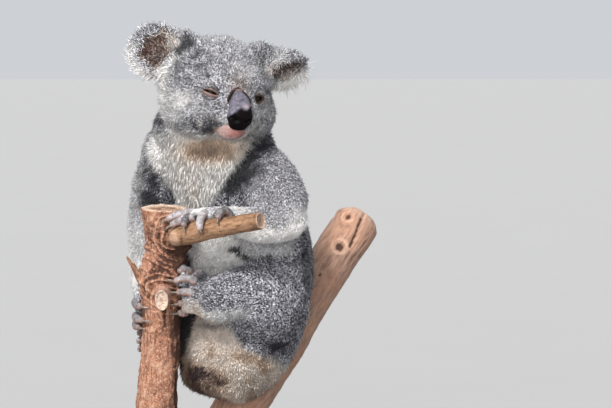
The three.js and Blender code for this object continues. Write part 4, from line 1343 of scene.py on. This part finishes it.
def make_lids(side):
    """The lids round one eye: a dome cut by a slit, its edge rolled inwards over the eyeball.

    Sheet point (u, v) lies between the slit (a cos u, b sin u) and an oval round the socket, at the height
    dome(r^2), where r is the distance from the gaze line. Rows below v = 0 roll in.
    """
    middle, axes = eye_axes(side)
    half, upper, lower, _ = EYE_SLITS[side]
    u = np.linspace(0, 2 * math.pi, 96, endpoint=False)
    c, s = np.cos(u), np.sin(u)
    tall = np.where(s > 0, upper, lower)
    slit = np.stack([half * c, tall * s * np.sqrt(np.abs(s)) ** 0.5], -1)
    outer = np.stack([16.5 * c, 13.5 * s], -1)
    v = np.concatenate([[0], np.linspace(0.02, 1, 30) ** 1.2])
    sheet = slit[None] * (1 - v)[:, None, None] + outer[None] * v[:, None, None]
    fold = np.where(s > 0, 1.0, 0.7) * hump(v[:, None], 0.42, 0.07)
    crease = np.where(s > 0, 0.6, 1.0) * hump(v[:, None], 0.27, 0.05)
    height = dome((sheet ** 2).sum(-1)) + 0.35 * hump(v[:, None], 0.10, 0.06) + 0.9 * fold - 0.7 * crease
    roll = []
    for deep, keep in ((3.4, 1.10), (2.2, 1.05), (1.0, 1.0), (0.35, 0.985)):
        inner = slit * keep
        r2 = (inner ** 2).sum(-1)
        floor = np.sqrt(np.maximum(EYE_RADIUS ** 2 - r2, 0)) - 0.4
        roll.append(np.concatenate([inner, np.maximum(dome(r2) - deep, floor)[:, None]], -1))
    rows = np.concatenate([np.array(roll), np.concatenate([sheet, height[..., None]], -1)])
    points = rows.reshape(-1, 3)
    faces = grid_faces(len(rows), len(u))
    share = np.concatenate([np.full(len(roll), -0.05), v])
    margins, edges, corner, hair = LID_MARKS[side]
    bare = np.where(s > 0, *margins)
    edge = np.where(s > 0, *edges) + corner * ease(c if side == "right" else np.abs(c), 0.75, 1)
    # blue: painted shade in the lids' crease round the eye
    marks = columns(ease(-share[:, None], -bare - 0.04, -bare + 0.04), hump(share[:, None], 0.01, edge),
                    np.concatenate([np.zeros((len(roll), len(u))), crease]) * 0.7,
                    ease(-c, 0.55, 0.95)[None] * ease(-share, -0.35, -0.05)[:, None])
    placed = from_head(middle + points @ axes)
    if side == "right":
        faces = faces[:, ::-1]
    obj = build("lids_" + side, placed, faces, marks=marks.reshape(-1, 4))
    finish_piece(obj, MATERIALS["lid"], "skin")
    normals = vertex_normals(placed, faces)
    marks, _, way, _ = marks_and_shade(placed, normals)
    marks[:, 1] = np.maximum(marks[:, 1], (0.35 * hump(share, 0.27, 0.08)).repeat(len(u)))
    # painted shade: a dark ring in the hair round the left eye, which lies in shadow
    if side == "left":
        marks[:, 2] = np.maximum(marks[:, 2], (0.75 * hump(share, 0.3, 0.13)).repeat(len(u)))
    marks[:, 3] = 0
    skin = (placed, faces, normals, marks, way, {"up": normals[:, 2]})
    covered = np.repeat(share[:-1] > hair, len(u))
    coat_piece("coat_lids_" + side, skin, covered, lid_style)


def make_claws():
    """The claws: copies of their solids as one smooth mesh."""
    names = sorted(n for n in NODES if n.startswith("claw_"))
    rough = gathered(names)
    change = rough.modifiers.new("round", "SUBSURF")
    change.levels = change.render_levels = 1
    made = bpy.data.meshes.new_from_object(rough.evaluated_get(bpy.context.evaluated_depsgraph_get()))
    bpy.data.objects.remove(rough)
    made.name = "claws"
    obj = bpy.data.objects.new("claws", made)
    bpy.context.scene.collection.objects.link(obj)
    finish_piece(obj, MATERIALS["claw"], "claw", *names)


# ------------------------------------------------------------------ perch

# rows of a saw cut: share of the radius, millimetres out, how far the cut's own colours show
SAWN = [(1.0, 0.8, 0.3), (0.975, 1.6, 0.6), (0.93, 2.0, 1), (0.86, 1.7, 1), (0.78, 1.0, 1), (0.7, 0.4, 1),
        (0.55, 0.0, 1), (0.4, -0.2, 1), (0.25, -0.3, 1), (0.1, -0.3, 1)]


def capped(parts):
    """The values of all rows, then those of the two end points."""
    return np.concatenate([np.concatenate(parts).ravel(), [parts[0].flat[0], parts[-1].flat[-1]]])


def branch(name, stations, rows, sides, relief, ends, tint, nodes, shade=None):
    """A piece of wood: rings along the stations, pushed out by relief(points, angle, share) millimetres.

    An end is "hidden", "sawn" (a flat cut with a rounded rim and growth rings) or "worn" (a rounded end).
    """
    p = spline(stations, rows)
    along = unit(np.gradient(p[:, :3], axis=0))
    side = unit(np.cross(along, [1.0, 0, 0] if p.shape[1] > 4 else [0.3, -1.0, 0.2]))
    up = np.cross(side, along)
    angle = np.linspace(0, 2 * math.pi, sides, endpoint=False)
    out = np.cos(angle)[None, :, None] * side[:, None] + np.sin(angle)[None, :, None] * up[:, None]
    a, b = p[:, 3:4], p[:, -1:]
    girth = a * b / np.hypot(b * np.cos(angle), a * np.sin(angle))
    rings = p[:, None, :3] + out * girth[..., None]
    share = np.broadcast_to(np.linspace(0, 1, rows)[:, None], (rows, sides))
    push = relief(rings, np.broadcast_to(angle, (rows, sides)), share)
    rings = rings + out * push[..., None]
    broad = push
    for _ in range(14):
        broad = (broad + np.roll(broad, 1, 1) + np.roll(broad, -1, 1)
                 + np.vstack([broad[:1], broad[:-1]]) + np.vstack([broad[1:], broad[-1:]])) / 5
    # painted shade: shade(points) lowers the relief marks, painting shade where positive and paler bark where
    # negative
    if shade is not None:
        broad = broad + shade(rings)
    push = push - broad
    kept = [[rings], [np.zeros((rows, sides))], [np.zeros((rows, sides))], [push]]
    for at, sign in ((0, -1), (-1, 1)):
        kind = ends[at]
        if kind == "hidden":
            continue
        middle, lip, way = p[at, :3], rings[at] - p[at, :3], along[at] * sign
        steps = SAWN if kind == "sawn" else [(math.cos(t), 0.6 * p[at, 3] * math.sin(t), 0.2)
                                             for t in np.linspace(0.12, 1.5, 14)]
        extra = np.array([middle + lip * k + way * far for k, far, _ in steps])
        extra = extra + way * (lumps(extra, 0.005, 31) * (0.5 if kind == "sawn" else 1.2))[..., None]
        rim, _, mask = (np.repeat(column[:, None], sides, axis=1) for column in np.array(steps).T)
        high = np.broadcast_to(push[at] * 0.3, mask.shape)
        for so_far, new in zip(kept, (extra, mask, rim, high)):
            if sign < 0:
                so_far.insert(0, new[::-1])
            else:
                so_far.append(new)
    layers, grain, age, height = kept
    points, faces, caps = tube(np.concatenate(layers))
    before, after = (0 if kind == "hidden" else len(part) for kind, part in zip(ends, (layers[0], layers[-1])))
    middles = np.concatenate([np.repeat(p[:1, :3], before, axis=0), p[:, :3], np.repeat(p[-1:, :3], after, axis=0)])
    strand = np.zeros((len(points), 4))
    length = np.concatenate([[0], np.cumsum(np.linalg.norm(np.diff(middles, axis=0), axis=1))])
    strand[:-2, 2] = np.repeat(length, sides) * MM
    strand[-2:, 2] = np.array([length[0], length[-1]]) * MM
    reach = np.linalg.norm(points[:-2] - np.repeat(middles, sides, axis=0), axis=1) * MM
    strand[:-2, 0] = reach * np.tile(np.cos(angle), len(middles))
    strand[:-2, 1] = reach * np.tile(np.sin(angle), len(middles))
    marks = columns(np.clip(0.5 + capped(height) / 3.2, 0, 1), capped(grain), capped(age), tint)
    obj = build(name, points * MM, *turned_out(points, faces, caps), marks=marks, strand=strand)
    return finish_piece(obj, MATERIALS["bark"], "bark", *nodes)


def ridges(points, stretch, size, seed):
    """Ridged noise from 0 to 1, stretched along an axis: 1 - |noise| sharpened by squaring."""
    return (1 - np.abs(lumps(points * stretch, size, seed))) ** 2


def pleats(x, size, sharp):
    """Folds across a distance: (1 - |sin(x / size)|)^sharp."""
    return (1 - np.abs(np.sin(x / size))) ** sharp


def trunk_shade(p):
    """Where the stem's bark is darkened: painted shadow under the side branch, beside the foot and below the peg, and
    random darker patches.
    """
    lower = ease(-p[..., 2], -335, -318)
    return (6.0 * bell(p, (-74, -78, 402), (15, 22, 11)) + 3.0 * bell(p, (-76, -76, 376), (9, 24, 22))
            + 1.7 * lower * ease(p[..., 0] + 6 * lumps(p, 0.02, 58), -94, -84)
            + 1.3 * bell(p, (-99, -86, 310), (13, 30, 22)) + 0.9 * lumps(p, 0.03, 56) + 0.6 * lumps(p, 0.012, 59))


def trunk_relief(p, angle, share):
    """Upright stem: crumbly bark with long fissures, and creased folds wrapped round the knot and the side branch."""
    z = p[..., 2]
    knot = ease(z, 322, 345) * ease(-z, -428, -400)
    out = 1.3 * lumps(p, 0.034, 41) + 1.0 * lumps(p, 0.012, 42)
    out += (1 - 0.4 * knot) * (1.7 * ridges(p, np.array([1, 1, 0.22]), 0.006, 43) - 0.9)
    out += 0.8 * lumps(p, 0.0034, 44) + 0.45 * lumps(p, 0.0019, 47)
    ring = np.linalg.norm(p - np.array([-84, -92, 418]), axis=-1)
    folds = ease(-ring, -50, -16) * pleats(ring + 5 * lumps(p, 0.014, 45), 2.9, 1.6)
    slant = z + 0.6 * p[..., 0] + 8 * lumps(p, 0.026, 46)
    folds = np.maximum(folds, 0.6 * knot * pleats(slant, 4.6, 2))
    out += 3.4 * folds - 1.0 * knot
    out += 2.6 * hump(z, 366, 13) + 1.2 * hump(z, 340, 8)
    # arched creases over the peg, crumbs over the knot, and a swelling with a hollow under the side branch
    around = np.linalg.norm((p - np.array([-100, -92, 342])) * np.array([1, 0.7, 1]), axis=-1)
    arches = ease(around, 10, 18) * ease(-around, -44, -26) * ease(z, 338, 350)
    out += 3.0 * arches * pleats(around + 4 * lumps(p, 0.012, 48), 2.6, 1.5)
    out += knot * (0.3 * np.abs(lumps(p, 0.005, 49)) + 0.4 * lumps(p, 0.0026, 50))
    return out + 9.0 * bell(p, (-76, -70, 404), (16, 18, 8)) - 5.0 * bell(p, (-84, -90, 396), (10, 12, 5))


KNOTS = [((119, 124, 425), 7), ((109, 106, 388), 8)]
CRACKS = [((138, 128, 424), (122, 108, 388)), ((99, 96, 380), (84, 84, 355)), ((60, 62, 300), (36, 44, 262))]


def limb_relief(p, angle, share):
    """Sloping limb: weathered wood with shallow fissures, two knots and a few long cracks."""
    out = 1.2 * lumps(p, 0.04, 51) + 0.5 * lumps(p, 0.008, 52)
    way = np.array([0.55, 0.45, 0.70])
    q = p - (p @ way)[..., None] * way * 0.85
    out += 0.9 * ridges(q, 1, 0.006, 53) - 0.4 + 0.25 * lumps(p, 0.0025, 54)
    for centre, size in KNOTS:
        d = np.linalg.norm(p - np.array(centre), axis=-1) / size
        out += 1.6 * hump(d, 1.15, 0.35) - 3.2 * hump(d, 0, 0.55)
    for a, b in CRACKS:
        out -= 3.4 * hump(to_segment(p + 2.0 * lumps(p, 0.008, 55)[..., None], a, b), 0, 1.7)
    return out


def side_shade(p):
    """The pale swelling where the side branch leaves the stem."""
    return (-2.4 * bell(p, (-86, -96, 418), (6, 16, 12)) + 1.6 * bell(p, (-77, -100, 416), (2.0, 20, 9))
            + 0.6 * lumps(p * (0.3, 1, 1), 0.012, 57))


def side_relief(p, angle, share):
    """Side branch: smooth wood with a swollen collar, a scar ring and faint grain."""
    out = 1.6 * hump(share, 0.11, 0.05) + 0.6 * hump(share, 0.22, 0.03)
    q = p * np.array([0.18, 0.5, 1.0])
    return out + 0.7 * lumps(p, 0.02, 61) + 0.45 * (ridges(q, 1, 0.004, 62) - 0.5) + 0.2 * lumps(p, 0.003, 63)


def peg_relief(p, angle, share):
    """Sawn peg: lumpy wood with a low swelling."""
    return 1.0 * lumps(p, 0.01, 71) + 0.5 * lumps(p, 0.003, 72) + 1.5 * hump(share, 0.35, 0.15)


def splinter_relief(p, angle, share):
    """Broken twig: three ribs that fade towards the tip."""
    return (0.9 * np.cos(angle * 3 + share * 2) + 0.5 * lumps(p, 0.004, 73)) * (1 - share)


STEM_TOP = (-98.2, -75.4, 448, 26.5)         # the sawn top of the stem, with its bark
TWIG_POINTS = [[(-123, -60, 354, 4.2), (-129, -64, 368, 3.0), (-135, -66, 384, 0.6)],
               [(-125, -56, 356, 3.6), (-132, -58, 368, 2.8), (-138, -60, 378, 0.5)]]


def make_perch():
    """The fork: upright stem, sloping limb, side branch, sawn peg and a broken twig with three points."""
    branch("perch_bark", TRUNK[:-1] + [STEM_TOP], 300, 120, trunk_relief, ("sawn", "sawn"), 0.0, ["perch_trunk"],
           trunk_shade)
    branch("limb_bark", LIMB, 270, 96, limb_relief, ("sawn", "worn"), 0.85, ["perch_limb"])
    branch("side_bark", SIDE_BRANCH, 130, 64, side_relief, ("hidden", "sawn"), 0.5, ["perch_side_branch"], side_shade)
    branch("peg_bark", PEG, 40, 48, peg_relief, ("hidden", "sawn"), 1.0, ["perch_peg"])
    branch("twig_bark", SPLINTER, 40, 24, splinter_relief, ("hidden", "worn"), 0.25, ["perch_splinter"])
    for n, points in enumerate(TWIG_POINTS):
        branch("twig_point_%d" % n, points, 24, 20, splinter_relief, ("hidden", "worn"), 0.25, [])


make_nose()
make_nose_fold()
make_lip()
for limb in DIGITS:
    make_digits(limb)
for side in ("right", "left"):
    make_eye(side)
    make_lids(side)
make_claws()
make_perch()
for name, key in (("stand_base", "wood"), ("stand_rod_front", "steel"), ("stand_rod_rear", "steel")):
    for kept in NODES[name].material_slots:
        kept.material = MATERIALS[key]


# ------------------------------------------------------------------ studio

FLOOR = 30.0                                  # half its side, metres
SKY, SKY_STRENGTH = (0.85, 0.88, 0.93), 0.72
# the way it shines, width of its disc in degrees, strength, colour
LIGHTS = {"key": ((0.32, 0.86, -0.76), 12, 4.6, (1.0, 0.98, 0.95)),
          "fill": ((0.12, 1.0, 0.0), 45, 2.9, (0.97, 0.98, 1.0)),
          "back": ((0.1, -0.7, -1.1), 30, 1.7, (1.0, 0.99, 0.97))}
LENS, SENSOR = 147.06, 36                     # the camera's, millimetres
AWAY, RISE = 3, math.radians(4)               # its distance in metres and how far it looks down
AIM_ACROSS, AIM_UP = 0.0672, 0.4488           # the middle of its view, metres


def placed_object(name, data):
    """A lamp or camera linked into the scene."""
    obj = bpy.data.objects.new(name, data)
    bpy.context.scene.collection.objects.link(obj)
    return obj


def studio():
    """A wide pale floor, three soft lights, a pale sky and the camera."""
    corners = np.array([(x, y, 0) for x, y in ((-1, -1), (1, -1), (1, 1), (-1, 1))]) * FLOOR
    floor = build("floor", corners, np.array([[0, 1, 2, 3]]))
    t = material("floor", "Floor")
    t.finish(colour=t.mix(t.noise(t.place(), 3.0), rgb(0.28, 0.28, 0.28), rgb(0.29, 0.29, 0.29)), rough=0.9)
    floor.data.materials.append(MATERIALS["floor"])

    for name, (towards, softness, strength, warmth) in LIGHTS.items():
        light = bpy.data.lights.new(name, "SUN")
        light.angle, light.energy, light.color = math.radians(softness), strength, warmth
        placed_object(name, light).rotation_euler = aim_angles(towards)

    world = bpy.data.worlds.new("Sky")
    world.use_nodes = True
    background = world.node_tree.nodes["Background"].inputs
    background["Color"].default_value, background["Strength"].default_value = rgb(*SKY), SKY_STRENGTH
    bpy.context.scene.world = world
    bpy.context.scene.view_settings.view_transform = "Standard"

    camera = bpy.data.cameras.new("camera")
    camera.lens, camera.sensor_width = LENS, SENSOR
    obj = placed_object("camera", camera)
    obj.location = (AIM_ACROSS, -AWAY * math.cos(RISE), AIM_UP + AWAY * math.sin(RISE))
    obj.rotation_euler = (math.radians(90) - RISE, 0, 0)
    bpy.context.scene.camera = obj


def aim_angles(aim):
    """Euler angles that turn a light's or camera's -Z along `aim`."""
    aim = unit(np.asarray(aim, float))
    return (math.acos(-aim[2]), 0, math.atan2(-aim[0], aim[1]))


studio()
